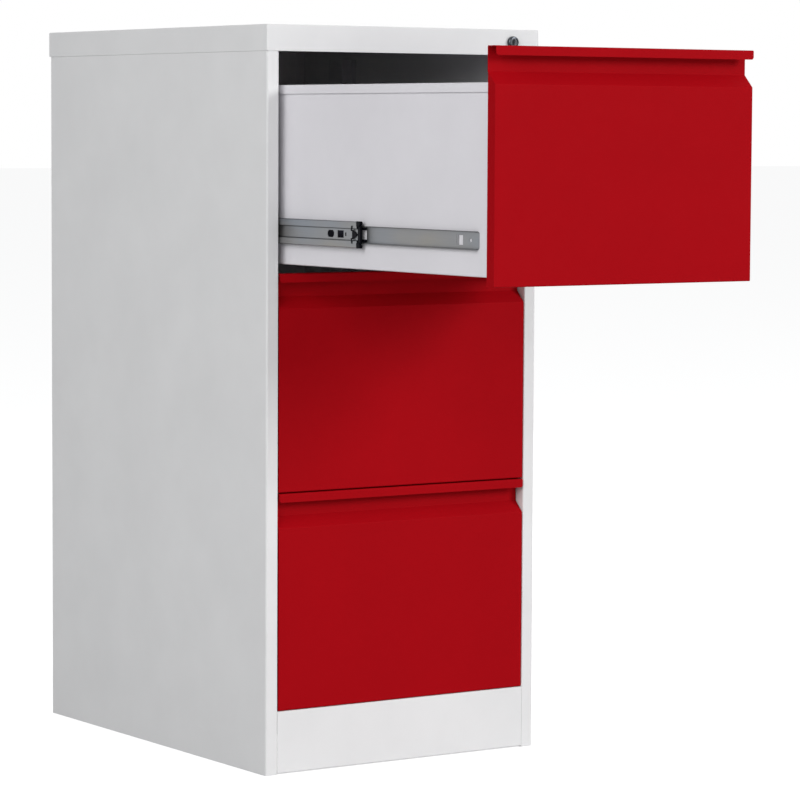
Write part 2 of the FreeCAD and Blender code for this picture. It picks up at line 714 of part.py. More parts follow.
def drawer_front(bottom):
    """Red front in one sheet: lip, top, upright recess, slope, face and lower return."""
    top = bottom + FRONT_HEIGHT
    section = [
        (from_front(-LIP_PROUD + SHEET), top - LIP_HEIGHT),
        (from_front(-LIP_PROUD + SHEET), top - SHEET),
        (from_front(FRONT_DEPTH), top - SHEET),
        (from_front(FRONT_DEPTH), top - RECESS_FALL),
        (FRONT, top - RECESS_FALL - SLOPE_FALL),
        (FRONT, bottom),
        (from_front(FRONT_DEPTH - 1), bottom),
    ]
    skin = bent_sheet(section, SHEET, "x", -FRONT_HALF, FRONT_HALF, "left", BEND, (0, 3, 4))
    slope_foot = top - RECESS_FALL - SLOPE_FALL
    under = SHEET * math.sqrt(2)
    cheek_outline = [
        (from_front(SHEET / 2), bottom + SHEET / 2),
        (from_front(FRONT_DEPTH), bottom + SHEET / 2),
        (from_front(FRONT_DEPTH), top - RECESS_FALL - under / 2),
        (from_front(SHEET / 2), slope_foot + SHEET / 2 - under / 2),
    ]
    cheek = prism(cheek_outline, "x", FRONT_HALF - SHEET, FRONT_HALF)
    front = joined([skin, cheek, mirrored(cheek)])

    def lip_corner(edge):
        low = abs(edge.BoundBox.ZMax - (top - LIP_HEIGHT)) < 0.01
        return low and abs(edge.BoundBox.YLength - SHEET) < 0.01 and edge.BoundBox.XLength < 0.01

    return rounded_edges(front, LIP_CORNER, lip_corner)


def inner_panel(bottom):
    """Pan that closes the front from behind; the tray is joined to it."""
    top = bottom + FRONT_HEIGHT
    half = FRONT_HALF - SHEET
    flange_top = top - RECESS_FALL - SLOPE_FALL - 3 * SHEET
    low = bottom + SHEET
    section = [
        (-half, from_front(FRONT_DEPTH - PAN_FLANGE)),
        (-half, from_front(FRONT_DEPTH)),
        (half, from_front(FRONT_DEPTH)),
        (half, from_front(FRONT_DEPTH - PAN_FLANGE)),
    ]
    pan = bent_sheet(section, SHEET, "z", low, flange_top, "right")
    across = (-half + 2 * SHEET, half - 2 * SHEET)
    along = (from_front(FRONT_DEPTH - SHEET), from_front(FRONT_DEPTH))
    plate = box(across, along, (low, top - RECESS_FALL - 4 * SHEET))
    return joined([pan, plate])


def tray(bottom):
    """Sides and floor in one sheet; the top of each side is folded out and down as a file rail."""
    floor = bottom + TRAY_LIFT
    top = bottom + FRONT_HEIGHT - TRAY_TOP_DROP
    inside = TRAY_HALF - SHEET
    rail = TRAY_HALF + RAIL_PROUD
    section = [
        (-rail, top - RAIL_HEIGHT),
        (-rail, top),
        (-inside, top),
        (-inside, floor + SHEET),
        (inside, floor + SHEET),
        (inside, top),
        (rail, top),
        (rail, top - RAIL_HEIGHT),
    ]
    start = from_front(FRONT_DEPTH)
    bends = [RAIL_BEND, RAIL_CREASE, BEND, BEND, RAIL_CREASE, RAIL_BEND]
    return bent_sheet(section, SHEET, "y", start, from_front(TRAY_END), "right", bends)


def tray_back(bottom):
    """Pan between the tray's sides, with flanges towards the front."""
    floor = bottom + TRAY_LIFT + SHEET
    top = bottom + FRONT_HEIGHT - TRAY_TOP_DROP - BACK_DROP
    inside = TRAY_HALF - SHEET
    section = [
        (-inside, from_front(TRAY_END - BACK_FLANGE)),
        (-inside, from_front(TRAY_END)),
        (inside, from_front(TRAY_END)),
        (inside, from_front(TRAY_END - BACK_FLANGE)),
    ]
    wall = bent_sheet(section, SHEET, "z", floor + 0.6 * SHEET, top, "right")
    across = (-inside + 2 * SHEET, inside - 2 * SHEET)
    foot = box(across, (from_front(TRAY_END - BACK_FLANGE), from_front(TRAY_END)), (floor, floor + SHEET))
    return joined([wall, foot])


def lock_catch(bottom):
    """Angle on the right side of the tray; the lock bar's hook stands in front of its leg."""
    z = bottom + CATCH_RISE
    section = [
        (CATCH_REACH, from_front(CATCH_START)),
        (TRAY_HALF, from_front(CATCH_START)),
        (TRAY_HALF, from_front(CATCH_START + CATCH_LEG)),
    ]
    return bent_sheet(section, CATCH_SHEET, "z", z - CATCH_HALF, z + CATCH_HALF, "right")


# Lock

def lock_housing():
    """Round head in front of the fascia and barrel through it, bored for the plug."""
    head_front = from_front(-SHEET - LOCK_HEAD_PROUD)
    centre = (LOCK_X, head_front, LOCK_Z)
    head = rod(LOCK_HEAD_RADIUS, centre, "y", LOCK_HEAD_PROUD)
    rim = [edge for edge in head.Edges if edge.BoundBox.YMax < head_front + 0.01]
    head = head.makeChamfer(LOCK_CHAMFER, rim)
    start = from_front(-2 * SHEET)
    barrel = rod(LOCK_BARREL_RADIUS, (LOCK_X, start, LOCK_Z), "y", LOCK_BARREL_END + 2 * SHEET)
    bore = rod(PLUG_RADIUS + PLUG_ROOM, (LOCK_X, head_front - 1, LOCK_Z), "y", 2 * LOCK_BARREL_END)
    return joined([head, barrel]).cut(bore)


def lock_nut():
    """Hexagon nut that clamps the fascia and the rail against the head."""
    corners = []
    for index in range(6):
        angle = math.radians(60 * index)
        corners.append((LOCK_X + NUT_CORNER * math.cos(angle), LOCK_Z + NUT_CORNER * math.sin(angle)))
    nut = prism(corners, "y", from_front(SHEET), from_front(SHEET + NUT_DEPTH))
    hole = rod(LOCK_BARREL_RADIUS, (LOCK_X, FRONT, LOCK_Z), "y", 2 * NUT_DEPTH)
    return nut.cut(hole)


def square_bar(half_width, half_height, start, end):
    """A block round the lock's axis, from start to end along Y."""
    across = (LOCK_X - half_width, LOCK_X + half_width)
    return box(across, (start, end), (LOCK_Z - half_height, LOCK_Z + half_height))


def lock_plug():
    """Plug with a keyway in its face and a square tail for the cam."""
    face = from_front(-SHEET - LOCK_HEAD_PROUD + PLUG_SUNK)
    tail_start = from_front(CAM_START - CAM_ROOM)
    tail_end = from_front(CAM_START + CAM_SHEET)
    body = rod(PLUG_RADIUS, (LOCK_X, face, LOCK_Z), "y", tail_start - face)
    tail = square_bar(TAIL_HALF, TAIL_HALF, tail_start, tail_end)
    rivet = rod(RIVET_RADIUS, (LOCK_X, tail_end, LOCK_Z), "y", RIVET_DEPTH)
    keyway = square_bar(KEYWAY_HALF_WIDTH, KEYWAY_HALF_HEIGHT, face - 1, face + KEYWAY_DEPTH)
    return joined([body, tail, rivet]).cut(keyway)


def lock_cam():
    """Lever on the plug's tail; its pin sits in the lock bar's slot, 45 degrees down when open."""
    plate_y = (from_front(CAM_START), from_front(CAM_START + CAM_SHEET))
    hub = rod(CAM_HUB_RADIUS, (LOCK_X, plate_y[0], LOCK_Z), "y", CAM_SHEET)
    tip = (LOCK_X + CAM_PIN_CIRCLE, plate_y[0], LOCK_Z)
    end = rod(CAM_ARM_HALF, tip, "y", CAM_SHEET)
    arm = box((LOCK_X, LOCK_X + CAM_PIN_CIRCLE), plate_y, (LOCK_Z - CAM_ARM_HALF, LOCK_Z + CAM_ARM_HALF))
    pin = rod(CAM_PIN_RADIUS, tip, "y", CAM_SHEET + CAM_PIN_LENGTH)
    square = square_bar(TAIL_HALF, TAIL_HALF, *plate_y)
    lever = joined([hub, end, arm, pin])
    lever.rotate(FreeCAD.Vector(LOCK_X, 0, LOCK_Z), FreeCAD.Vector(0, 1, 0), CAM_TURN / 2)
    return lever.cut(square)


def lock_bar():
    """Flat bar down the right side, with an arm and slot at its head for the cam's pin."""
    low_pin = LOCK_Z - BAR_LIFT / 2
    head = low_pin + BAR_ARM_HALF
    strip = box((BAR_X, BAR_X + BAR_SHEET), (from_front(BAR_FRONT), from_front(BAR_REAR)), (BAR_FOOT, head))
    arm_y = (from_front(BAR_FRONT), from_front(BAR_FRONT + BAR_SHEET))
    arm = box((LOCK_X + BAR_SHEET, BAR_X + BAR_SHEET), arm_y, (low_pin - BAR_ARM_HALF, head))
    near_x = LOCK_X + CAM_PIN_CIRCLE * math.cos(math.radians(CAM_TURN / 2))
    room = CAM_PIN_RADIUS + SLOT_ROOM
    slot_x = (near_x - room, LOCK_X + CAM_PIN_CIRCLE + room)
    slot = box(slot_x, (arm_y[0] - 1, arm_y[1] + 1), (low_pin - room, low_pin + room))
    return joined([strip, arm]).cut(slot)


def lock_hooks():
    """One block for each drawer on the inner face of the bar, just under the catch when open."""
    hooks = []
    for number in DRAWERS:
        top = front_bottom(number) + CATCH_RISE - CATCH_HALF - HOOK_CLEAR
        y = (from_front(BAR_FRONT), from_front(BAR_FRONT + HOOK_DEPTH))
        block = box((HOOK_REACH, BAR_X), y, (top - HOOK_HEIGHT, top))
        nose = [edge for edge in block.Edges if edge.BoundBox.XMax < HOOK_REACH + 0.01]
        across = [edge for edge in nose if edge.BoundBox.YLength > 1]
        hooks.append(block.makeChamfer(HOOK_CHAMFER, across))
    return group(hooks)


def lock_bar_guides():
    """Clips on the front right upright that wrap the bar, one above each drawer's slide."""
    near = from_front(BAR_FRONT - GUIDE_ROOM)
    upright = from_front(UPRIGHTS[0][0])
    section = [
        (BAR_X - GUIDE_ROOM, from_front(BAR_REAR + 1)),
        (BAR_X - GUIDE_ROOM, near),
        (BAR_X + BAR_SHEET + GUIDE_ROOM, near),
        (BAR_X + BAR_SHEET + GUIDE_ROOM, upright),
        (PANEL_INSIDE - 3 * SHEET, upright),
    ]
    clips = []
    for number in DRAWERS:
        z = front_bottom(number) + GUIDE_RISE
        clips.append(bent_sheet(section, GUIDE_SHEET, "z", z, z + GUIDE_HEIGHT, "right", GUIDE_BEND))
    return group(clips)


def write(name, shape, y=0.0):
    """Writes one node, moved along Y by the drawer's or member's travel at rest."""
    moved(shape, y=y).exportStep(os.path.join("parts", name + ".step"))


def write_case():
    panel = side_panel()
    racks = uprights()
    write("left_side_panel", panel)
    write("right_side_panel", mirrored(panel))
    write("back_panel", back_panel())
    write("top_cap", top_cap())
    write("top_front_rail", top_front_rail())
    write("plinth", plinth())
    write("base_pan", base_pan())
    write("base_cross_brace", base_cross_brace())
    write("left_uprights", racks)
    write("right_uprights", mirrored(racks))


def write_lock():
    write("lock_housing", lock_housing())
    write("lock_nut", lock_nut())
    write("lock_plug", lock_plug())
    write("lock_cam", lock_cam())
    write("lock_bar", lock_bar())
    write("lock_hooks", lock_hooks())
    write("lock_bar_guides", lock_bar_guides())


def write_drawers():
    slide_pieces = {
        "outer": outer_member(),
        "middle": middle_member(),
        "inner": inner_member(),
        "outer_cage": outer_cage(),
        "inner_cage": inner_cage(),
        "bumper": slide_bumper(),
        "lever": release_lever(),
    }
    for number in DRAWERS:
        name = "drawer_%d_" % number
        bottom = front_bottom(number)
        out = OUT_AT_REST.get(number, 0.0)
        left = {key: moved(piece, z=slide_axis(number)) for key, piece in slide_pieces.items()}
        right = {key: mirrored(piece) for key, piece in left.items()}
        both = {key: group([left[key], right[key]]) for key in left}
        write(name + "front", drawer_front(bottom), -out)
        write(name + "inner_panel", inner_panel(bottom), -out)
        write(name + "tray", tray(bottom), -out)
        write(name + "back", tray_back(bottom), -out)
        write(name + "lock_catch", lock_catch(bottom), -out)
        write(name + "slide_outer_members", both["outer"])
        for side, pieces in (("left", left), ("right", right)):
            write(name + "slide_middle_" + side, pieces["middle"], -out / 2)
            write(name + "slide_inner_" + side, pieces["inner"], -out)
        write(name + "outer_ball_cages", both["outer_cage"], -out / 4)
        write(name + "inner_ball_cages", both["inner_cage"], -out * 3 / 4)
        write(name + "slide_bumpers", both["bumper"], -out / 2)
        write(name + "release_levers", both["lever"], -out)


os.makedirs("parts", exist_ok=True)
write_case()
write_lock()
write_drawers()
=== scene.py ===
import math

import bmesh
import bpy
from bpy.props import FloatProperty, FloatVectorProperty, IntProperty, PointerProperty
from mathutils import Matrix, Vector


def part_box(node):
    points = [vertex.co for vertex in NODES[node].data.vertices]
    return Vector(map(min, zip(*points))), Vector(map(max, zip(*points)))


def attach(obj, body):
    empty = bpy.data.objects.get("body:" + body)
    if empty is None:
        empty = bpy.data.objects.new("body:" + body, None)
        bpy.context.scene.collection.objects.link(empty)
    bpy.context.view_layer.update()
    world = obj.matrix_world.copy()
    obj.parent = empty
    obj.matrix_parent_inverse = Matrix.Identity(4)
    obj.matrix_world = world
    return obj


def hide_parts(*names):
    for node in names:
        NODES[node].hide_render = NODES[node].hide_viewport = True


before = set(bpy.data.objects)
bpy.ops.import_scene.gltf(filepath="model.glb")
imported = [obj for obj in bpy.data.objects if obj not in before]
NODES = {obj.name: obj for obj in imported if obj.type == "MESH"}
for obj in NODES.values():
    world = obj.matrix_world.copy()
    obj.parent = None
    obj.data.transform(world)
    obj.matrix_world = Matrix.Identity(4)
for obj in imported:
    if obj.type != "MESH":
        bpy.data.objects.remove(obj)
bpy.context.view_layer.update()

bl_info = {
    "name": "Three-Drawer Filing Cabinet",
    "version": (1, 0, 0),
    "blender": (4, 5, 0),
    "location": "3D View > Sidebar > Cabinet",
    "description": "Finishes the pieces of a steel filing cabinet and sets up its studio",
    "category": "Object",
}

# Metres. +X is to the right of someone facing the drawers, +Y goes into the cabinet, +Z is up.
MM = 0.001
DRAWERS = range(1, 1 + sum(name.endswith("_front") and name.startswith("drawer") for name in NODES))
SIDES = {"left": -1, "right": 1}


# Finishes

class NodeTree:
    """A material's node tree, with short calls for the nodes that the finishes share."""

    def __init__(self, name):
        self.material = bpy.data.materials.new(name)
        self.material.use_nodes = True
        self.nodes = self.material.node_tree.nodes
        self.shader = self.nodes["Principled BSDF"]
        self.place = self.add("ShaderNodeTexCoord").outputs["Object"]

    def add(self, kind, **settings):
        node = self.nodes.new(kind)
        for key, value in settings.items():
            setattr(node, key, value)
        return node

    def join(self, output, target):
        self.material.node_tree.links.new(output, target)

    def set(self, **values):
        """Constants on the shader's own sockets; underscores stand for spaces."""
        for key, value in values.items():
            self.shader.inputs[key.replace("_", " ")].default_value = value

    def stretched(self, scale):
        """Object coordinates scaled along each axis."""
        mapping = self.add("ShaderNodeMapping")
        mapping.inputs["Scale"].default_value = scale
        self.join(self.place, mapping.inputs["Vector"])
        return mapping.outputs["Vector"]

    def noise(self, size, detail=3.0, rough=0.5, stretch=None):
        """Noise whose lumps are about size metres wide."""
        node = self.add("ShaderNodeTexNoise")
        node.inputs["Scale"].default_value = 1 / size
        node.inputs["Detail"].default_value = detail
        node.inputs["Roughness"].default_value = rough
        self.join(self.stretched(stretch) if stretch else self.place, node.inputs["Vector"])
        return node.outputs["Fac"]

    def between(self, fac, low, high):
        """A number that runs from low to high as noise fac runs over its usual span."""
        node = self.add("ShaderNodeMapRange")
        node.inputs["From Min"].default_value = 0.3
        node.inputs["From Max"].default_value = 0.7
        node.inputs["To Min"].default_value = low
        node.inputs["To Max"].default_value = high
        self.join(fac, node.inputs["Value"])
        return node.outputs["Result"]

    def math(self, operation, a, b=0.0):
        """A sum or the like of two outputs or numbers."""
        node = self.add("ShaderNodeMath", operation=operation)
        for value, socket in zip((a, b), node.inputs):
            if isinstance(value, float):
                socket.default_value = value
            else:
                self.join(value, socket)
        return node.outputs["Value"]

    def tones(self, fac, stops):
        """Colours along fac, from (position, colour) stops."""
        node = self.add("ShaderNodeValToRGB")
        ramp = node.color_ramp.elements
        while len(ramp) < len(stops):
            ramp.new(0.5)
        for element, (position, colour) in zip(ramp, stops):
            element.position = position
            element.color = (*colour, 1)
        self.join(fac, node.inputs["Fac"])
        return node.outputs["Color"]

    def bump(self, height, depth, strength=1.0, below=None):
        """A bump of the given depth in metres, on top of another one."""
        node = self.add("ShaderNodeBump")
        node.inputs["Distance"].default_value = depth
        node.inputs["Strength"].default_value = strength
        self.join(height, node.inputs["Height"])
        if below:
            self.join(below, node.inputs["Normal"])
        return node.outputs["Normal"]

    def drive(self, **outputs):
        """Outputs into the shader's sockets; underscores stand for spaces."""
        for key, output in outputs.items():
            self.join(output, self.shader.inputs[key.replace("_", " ")])


def shade(colour, factor):
    """A colour made lighter or darker."""
    return tuple(min(1.0, channel * factor) for channel in colour)


def powder_coat(name, colour, gloss, settings):
    """Fine-textured powder coat on sheet steel: orange peel, slow waves of the sheet, faint clouds."""
    cloud_width, patch_width, wave_width = 0.11, 0.018, 0.35
    wave_depth = 0.8 * MM
    rough = settings.coat_roughness
    tree = NodeTree(name)
    clouds = tree.noise(cloud_width, 4.0, 0.55)
    tree.drive(Base_Color=tree.tones(clouds, [(0.3, shade(colour, 0.975)), (0.7, shade(colour, 1.02))]))
    patches = tree.noise(patch_width, 5.0, 0.6)
    tree.drive(Roughness=tree.between(patches, rough - 0.04, rough + 0.05))
    waves = tree.bump(tree.noise(wave_width, 1.0, 0.4), wave_depth, 0.5)
    peel = tree.bump(tree.noise(settings.peel_width, 2.0, 0.5), settings.peel_depth, 0.7, waves)
    tree.drive(Normal=peel)
    tree.set(IOR=1.5, Specular_IOR_Level=gloss)
    return tree.material


def painted_shade_lines(tree, lines, width):
    """Painted shade: dark lines at heights above and below the axis of every drawer's slide, from (height,
    strength).
    """
    low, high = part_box("drawer_%d_slide_inner_left" % max(DRAWERS))
    next_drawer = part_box("drawer_%d_slide_inner_left" % (max(DRAWERS) - 1))
    pitch = next_drawer[0].z - low.z
    lowest_axis = (low.z + high.z) / 2
    parts = tree.add("ShaderNodeSeparateXYZ")
    tree.join(tree.place, parts.inputs["Vector"])
    value = tree.math("SUBTRACT", parts.outputs["Z"], lowest_axis - pitch / 2)
    value = tree.math("MODULO", value, pitch)
    value = tree.math("ABSOLUTE", tree.math("SUBTRACT", value, pitch / 2))
    darkest = 0.0
    for height, strength in lines:
        off = tree.math("ABSOLUTE", tree.math("SUBTRACT", value, height))
        line = tree.math("SUBTRACT", strength, tree.math("MULTIPLY", off, strength / width))
        darkest = tree.math("MAXIMUM", line, darkest)
    return darkest


def rolled_zinc(name, tint, settings, rolling=(1.0, 0.02, 1.0), lines=(), shade_line_width=1.0):
    """Zinc-plated strip with streaks along the way it was rolled, the faint hues of its passivation,
    and painted shade: dark lines along its races and jogs."""
    hue_width, streak_width = 50.0 * MM, 0.9 * MM
    streak_depth = 0.01 * MM
    rough = settings.zinc_roughness
    tree = NodeTree(name)
    hues = tree.noise(hue_width, 2.0, 0.5, (1.0, 0.35, 1.0))
    cool = (tint[0] * 0.93, tint[1] * 0.99, tint[2] * 1.06)
    warm = (tint[0] * 1.08, tint[1] * 1.03, tint[2] * 0.94)
    colour = tree.tones(hues, [(0.3, cool), (0.5, tint), (0.7, warm)])
    if lines:
        # Painted shade: the zinc is darkened to 22 % of its tint along its jogs and races.
        grease = tree.add("ShaderNodeMix", data_type="RGBA")
        tree.join(painted_shade_lines(tree, lines, shade_line_width), grease.inputs["Factor"])
        tree.join(colour, grease.inputs["A"])
        grease.inputs["B"].default_value = (*shade(tint, 0.22), 1)
        colour = grease.outputs["Result"]
    tree.drive(Base_Color=colour)
    streaks = tree.noise(streak_width, 4.0, 0.65, rolling)
    tree.drive(Roughness=tree.between(streaks, rough - 0.05, rough + 0.07))
    tree.drive(Normal=tree.bump(streaks, streak_depth, 0.5))
    tree.set(Metallic=1.0)
    return tree.material


def moulded_plastic(name, colour):
    """Black moulded plastic with a spark-eroded grain."""
    flow_width, patch_width, grain_width = 6.0 * MM, 2.5 * MM, 0.4 * MM
    grain_depth = 0.015 * MM
    tree = NodeTree(name)
    flow = tree.noise(flow_width, 3.0)
    tree.drive(Base_Color=tree.tones(flow, [(0.3, colour), (0.7, shade(colour, 1.6))]))
    tree.drive(Roughness=tree.between(tree.noise(patch_width, 3.0), 0.36, 0.5))
    tree.drive(Normal=tree.bump(tree.noise(grain_width, 2.0), grain_depth, 0.6))
    tree.set(IOR=1.49, Specular_IOR_Level=0.05)
    return tree.material


def bright_chrome(name, tint):
    """Polished chrome with the faint smears of handling."""
    tree = NodeTree(name)
    smears = tree.noise(4.0 * MM, 4.0, 0.6)
    tree.drive(Base_Color=tree.tones(smears, [(0.3, shade(tint, 0.94)), (0.7, tint)]))
    tree.drive(Roughness=tree.between(smears, 0.1, 0.18))
    tree.set(Metallic=1.0)
    return tree.material


def turned_steel(name, tint, centre):
    """Dull turned steel: rings round the lock's axis."""
    tree = NodeTree(name)
    shift = tree.add("ShaderNodeVectorMath", operation="SUBTRACT")
    shift.inputs[1].default_value = centre
    tree.join(tree.place, shift.inputs[0])
    rings = tree.add("ShaderNodeTexWave", wave_type="RINGS", rings_direction="Y")
    rings.inputs["Scale"].default_value = 0.9 / MM
    rings.inputs["Distortion"].default_value = 1.5
    rings.inputs["Detail"].default_value = 2
    tree.join(shift.outputs["Vector"], rings.inputs["Vector"])
    tree.drive(Base_Color=tree.tones(rings.outputs["Fac"], [(0.0, shade(tint, 0.8)), (1.0, tint)]))
    tree.drive(Roughness=tree.between(rings.outputs["Fac"], 0.24, 0.4))
    tree.drive(Normal=tree.bump(rings.outputs["Fac"], 0.01 * MM, 0.5))
    tree.set(Metallic=1.0)
    return tree.material


def bearing_steel(name, tint):
    """Polished ball with a film of grease."""
    tree = NodeTree(name)
    film = tree.noise(2.0 * MM, 3.0)
    tree.drive(Base_Color=tree.tones(film, [(0.3, shade(tint, 0.85)), (0.7, tint)]))
    tree.drive(Roughness=tree.between(film, 0.08, 0.2))
    tree.set(Metallic=1.0)
    return tree.material


def material(key):
    """The named finish, made once from the settings."""
    if key in bpy.data.materials and bpy.data.materials[key].get("cabinet_finish"):
        return bpy.data.materials[key]
    settings = bpy.context.scene.cabinet_finishes
    # Heights and strengths of the painted shade lines along the slides' jogs and races.
    jog_height = half_height("drawer_1_slide_middle_left") - settings.band_height
    middle_shade_lines = ((jog_height, 0.8), (half_height("drawer_1_slide_middle_left"), 0.4))
    inner_shade_lines = ((half_height("drawer_1_slide_inner_left"), 1.0),)
    makers = {
        "case_powder_coat": lambda: powder_coat(key, settings.case_colour, settings.white_gloss, settings),
        "inner_powder_coat": lambda: powder_coat(key, settings.inner_colour, settings.white_gloss, settings),
        "tray_powder_coat": lambda: powder_coat(key, settings.tray_colour, settings.white_gloss, settings),
        "red_powder_coat": lambda: powder_coat(key, settings.front_colour, settings.red_gloss, settings),
        "slide_zinc": lambda: rolled_zinc(key, settings.slide_tint, settings),
        "middle_zinc": lambda: rolled_zinc(key, settings.slide_tint, settings,
                                           lines=middle_shade_lines, shade_line_width=settings.jog_shade_line),
        "inner_zinc": lambda: rolled_zinc(key, settings.slide_tint, settings,
                                          lines=inner_shade_lines, shade_line_width=settings.race_shade_line),
        "cage_steel": lambda: rolled_zinc(key, settings.cage_shade_tint, settings),
        "lock_zinc": lambda: rolled_zinc(key, settings.lock_tint, settings, rolling=(1.0, 1.0, 0.02)),
        "black_moulding": lambda: moulded_plastic(key, settings.plastic_colour),
        "lock_chrome": lambda: bright_chrome(key, settings.chrome_tint),
        "plug_steel": lambda: turned_steel(key, settings.plug_tint, lock_axis()),
        "ball_steel": lambda: bearing_steel(key, settings.ball_tint),
    }
    made = makers[key]()
    made["cabinet_finish"] = True
    return made


# Meshes

def lock_axis():
    """A point on the axis of the lock's plug."""
    low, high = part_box("lock_plug")
    return (low + high) / 2


def half_height(node):
    """Half the height of a node's box."""
    low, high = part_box(node)
    return (high.z - low.z) / 2


def half_box(node, side):
    """Box of the part of a node that is on one side of the cabinet."""
    points = [v.co for v in NODES[node].data.vertices if v.co.x * side > 0]
    low = Vector([min(p[axis] for p in points) for axis in range(3)])
    high = Vector([max(p[axis] for p in points) for axis in range(3)])
    return low, high


def softening():
    """Node group that welds a sheet's mesh and shades it smooth, with its edges left to the bevel."""
    name = "weld_and_smooth"
    if name in bpy.data.node_groups:
        return bpy.data.node_groups[name]
    group = bpy.data.node_groups.new(name, "GeometryNodeTree")
    group.interface.new_socket("Geometry", in_out="INPUT", socket_type="NodeSocketGeometry")
    group.interface.new_socket("Geometry", in_out="OUTPUT", socket_type="NodeSocketGeometry")
    source = group.nodes.new("NodeGroupInput")
    clean = group.nodes.new("GeometryNodeRemoveAttribute")
    clean.inputs["Name"].default_value = "custom_normal"
    weld = group.nodes.new("GeometryNodeMergeByDistance")
    weld.inputs["Distance"].default_value = 0.002 * MM
    smooth = group.nodes.new("GeometryNodeSetShadeSmooth")
    result = group.nodes.new("NodeGroupOutput")
    chain = [source, clean, weld, smooth, result]
    for near, far in zip(chain, chain[1:]):
        group.links.new(near.outputs[0], far.inputs[0])
    return group


def soften(piece, width, segments=2, angle=32.0, join_flats=True):
    """Rounds the edges of a piece with modifiers, after its flat faces are joined up."""
    weld = piece.modifiers.new("weld", "NODES")
    weld.node_group = softening()
    if join_flats:
        flats = piece.modifiers.new("flats", "DECIMATE")
        flats.decimate_type = "DISSOLVE"
        flats.angle_limit = math.radians(0.6)
    edges = piece.modifiers.new("edges", "BEVEL")
    edges.width = width
    edges.segments = segments
    edges.limit_method = "ANGLE"
    edges.angle_limit = math.radians(angle)
    edges.miter_outer = "MITER_ARC"
    weigh_normals(piece, 80)


def weigh_normals(piece, weight):
    """Large faces lead the smooth shading, so that flat ones look flat."""
    shading = piece.modifiers.new("shading", "WEIGHTED_NORMAL")
    shading.weight = weight


def finish_node(name, key, width, **options):
    """A CAD node that keeps its shape gets its finish and rounded edges."""
    node = NODES[name]
    for slot in node.material_slots:
        slot.material = material(key)
    soften(node, width, **options)


def new_piece(name, mesh, key, body, nodes):
    """A piece made here: its finish, the body it rides on, and the nodes it stands for."""
    mesh.materials.append(material(key))
    piece = bpy.data.objects.new(name, mesh)
    bpy.context.scene.collection.objects.link(piece)
    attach(piece, body)
    if nodes:
        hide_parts(*nodes)
    return piece


def mesh_from(build, name):
    """A mesh from the bmesh that build(bm) fills, shaded smooth, its normals pointing out."""
    bm = bmesh.new()
    build(bm)
    bmesh.ops.recalc_face_normals(bm, faces=bm.faces)
    for face in bm.faces:
        face.smooth = True
    mesh = bpy.data.meshes.new(name)
    bm.to_mesh(mesh)
    bm.free()
    return mesh


def lathe(bm, profile, centre, steps, closed=False):
    """Turns (radius, depth) points round an axis along Y through centre. A closed profile joins its
    last point to its first. Gives the ring of each point."""
    rings = []
    for radius, depth in profile:
        ring = []
        for index in range(steps):
            angle = 2 * math.pi * index / steps
            offset = Vector((radius * math.cos(angle), depth, radius * math.sin(angle)))
            ring.append(bm.verts.new(centre + offset))
        rings.append(ring)
    bands = list(zip(rings, rings[1:]))
    if closed:
        bands.append((rings[-1], rings[0]))
    for near, far in bands:
        for index in range(steps):
            after = (index + 1) % steps
            bm.faces.new((near[index], near[after], far[after], far[index]))
    return rings


def arc(centre, radius, start, end, steps):
    """Plane points of an arc; angles in degrees."""
    points = []
    for index in range(steps + 1):
        angle = math.radians(start + (end - start) * index / steps)
        points.append((centre[0] + radius * math.cos(angle), centre[1] + radius * math.sin(angle)))
    return points


def rounded(points, radius, steps=4):
    """A closed outline with each corner replaced by an arc that touches both its sides."""
    outline = []
    for index, corner in enumerate(points):
        here = Vector(corner)
        back = (Vector(points[index - 1]) - here)
        ahead = (Vector(points[(index + 1) % len(points)]) - here)
        half = back.angle(ahead) / 2
        reach = min(radius / math.tan(half), 0.45 * back.length, 0.45 * ahead.length)
        middle = here + (back.normalized() + ahead.normalized()).normalized() * reach / math.cos(half)
        first = here + back.normalized() * reach - middle
        last = here + ahead.normalized() * reach - middle
        for step in range(steps + 1):
            outline.append(tuple(middle + first.slerp(last, step / steps) * first.length))
    return outline


def extruded(bm, outline, place, low, high):
    """A closed prism: outline in a plane, place(a, b, h) puts its points in space."""
    floor = [bm.verts.new(place(a, b, low)) for a, b in outline]
    roof = [bm.verts.new(place(a, b, high)) for a, b in outline]
    bm.faces.new(floor)
    bm.faces.new(reversed(roof))
    for index in range(len(outline)):
        after = (index + 1) % len(outline)
        bm.faces.new((floor[index], roof[index], roof[after], floor[after]))


def holed_plate(bm, outline, holes, place):
    """One flat face with holes, its points put in space by place(a, b)."""
    loops = [outline] + holes
    edges = []
    for loop in loops:
        verts = [bm.verts.new(place(a, b)) for a, b in loop]
        edges += [bm.edges.new((verts[index - 1], verts[index])) for index in range(len(verts))]
    bmesh.ops.triangle_fill(bm, use_beauty=True, use_dissolve=False, edges=edges)


# Settings

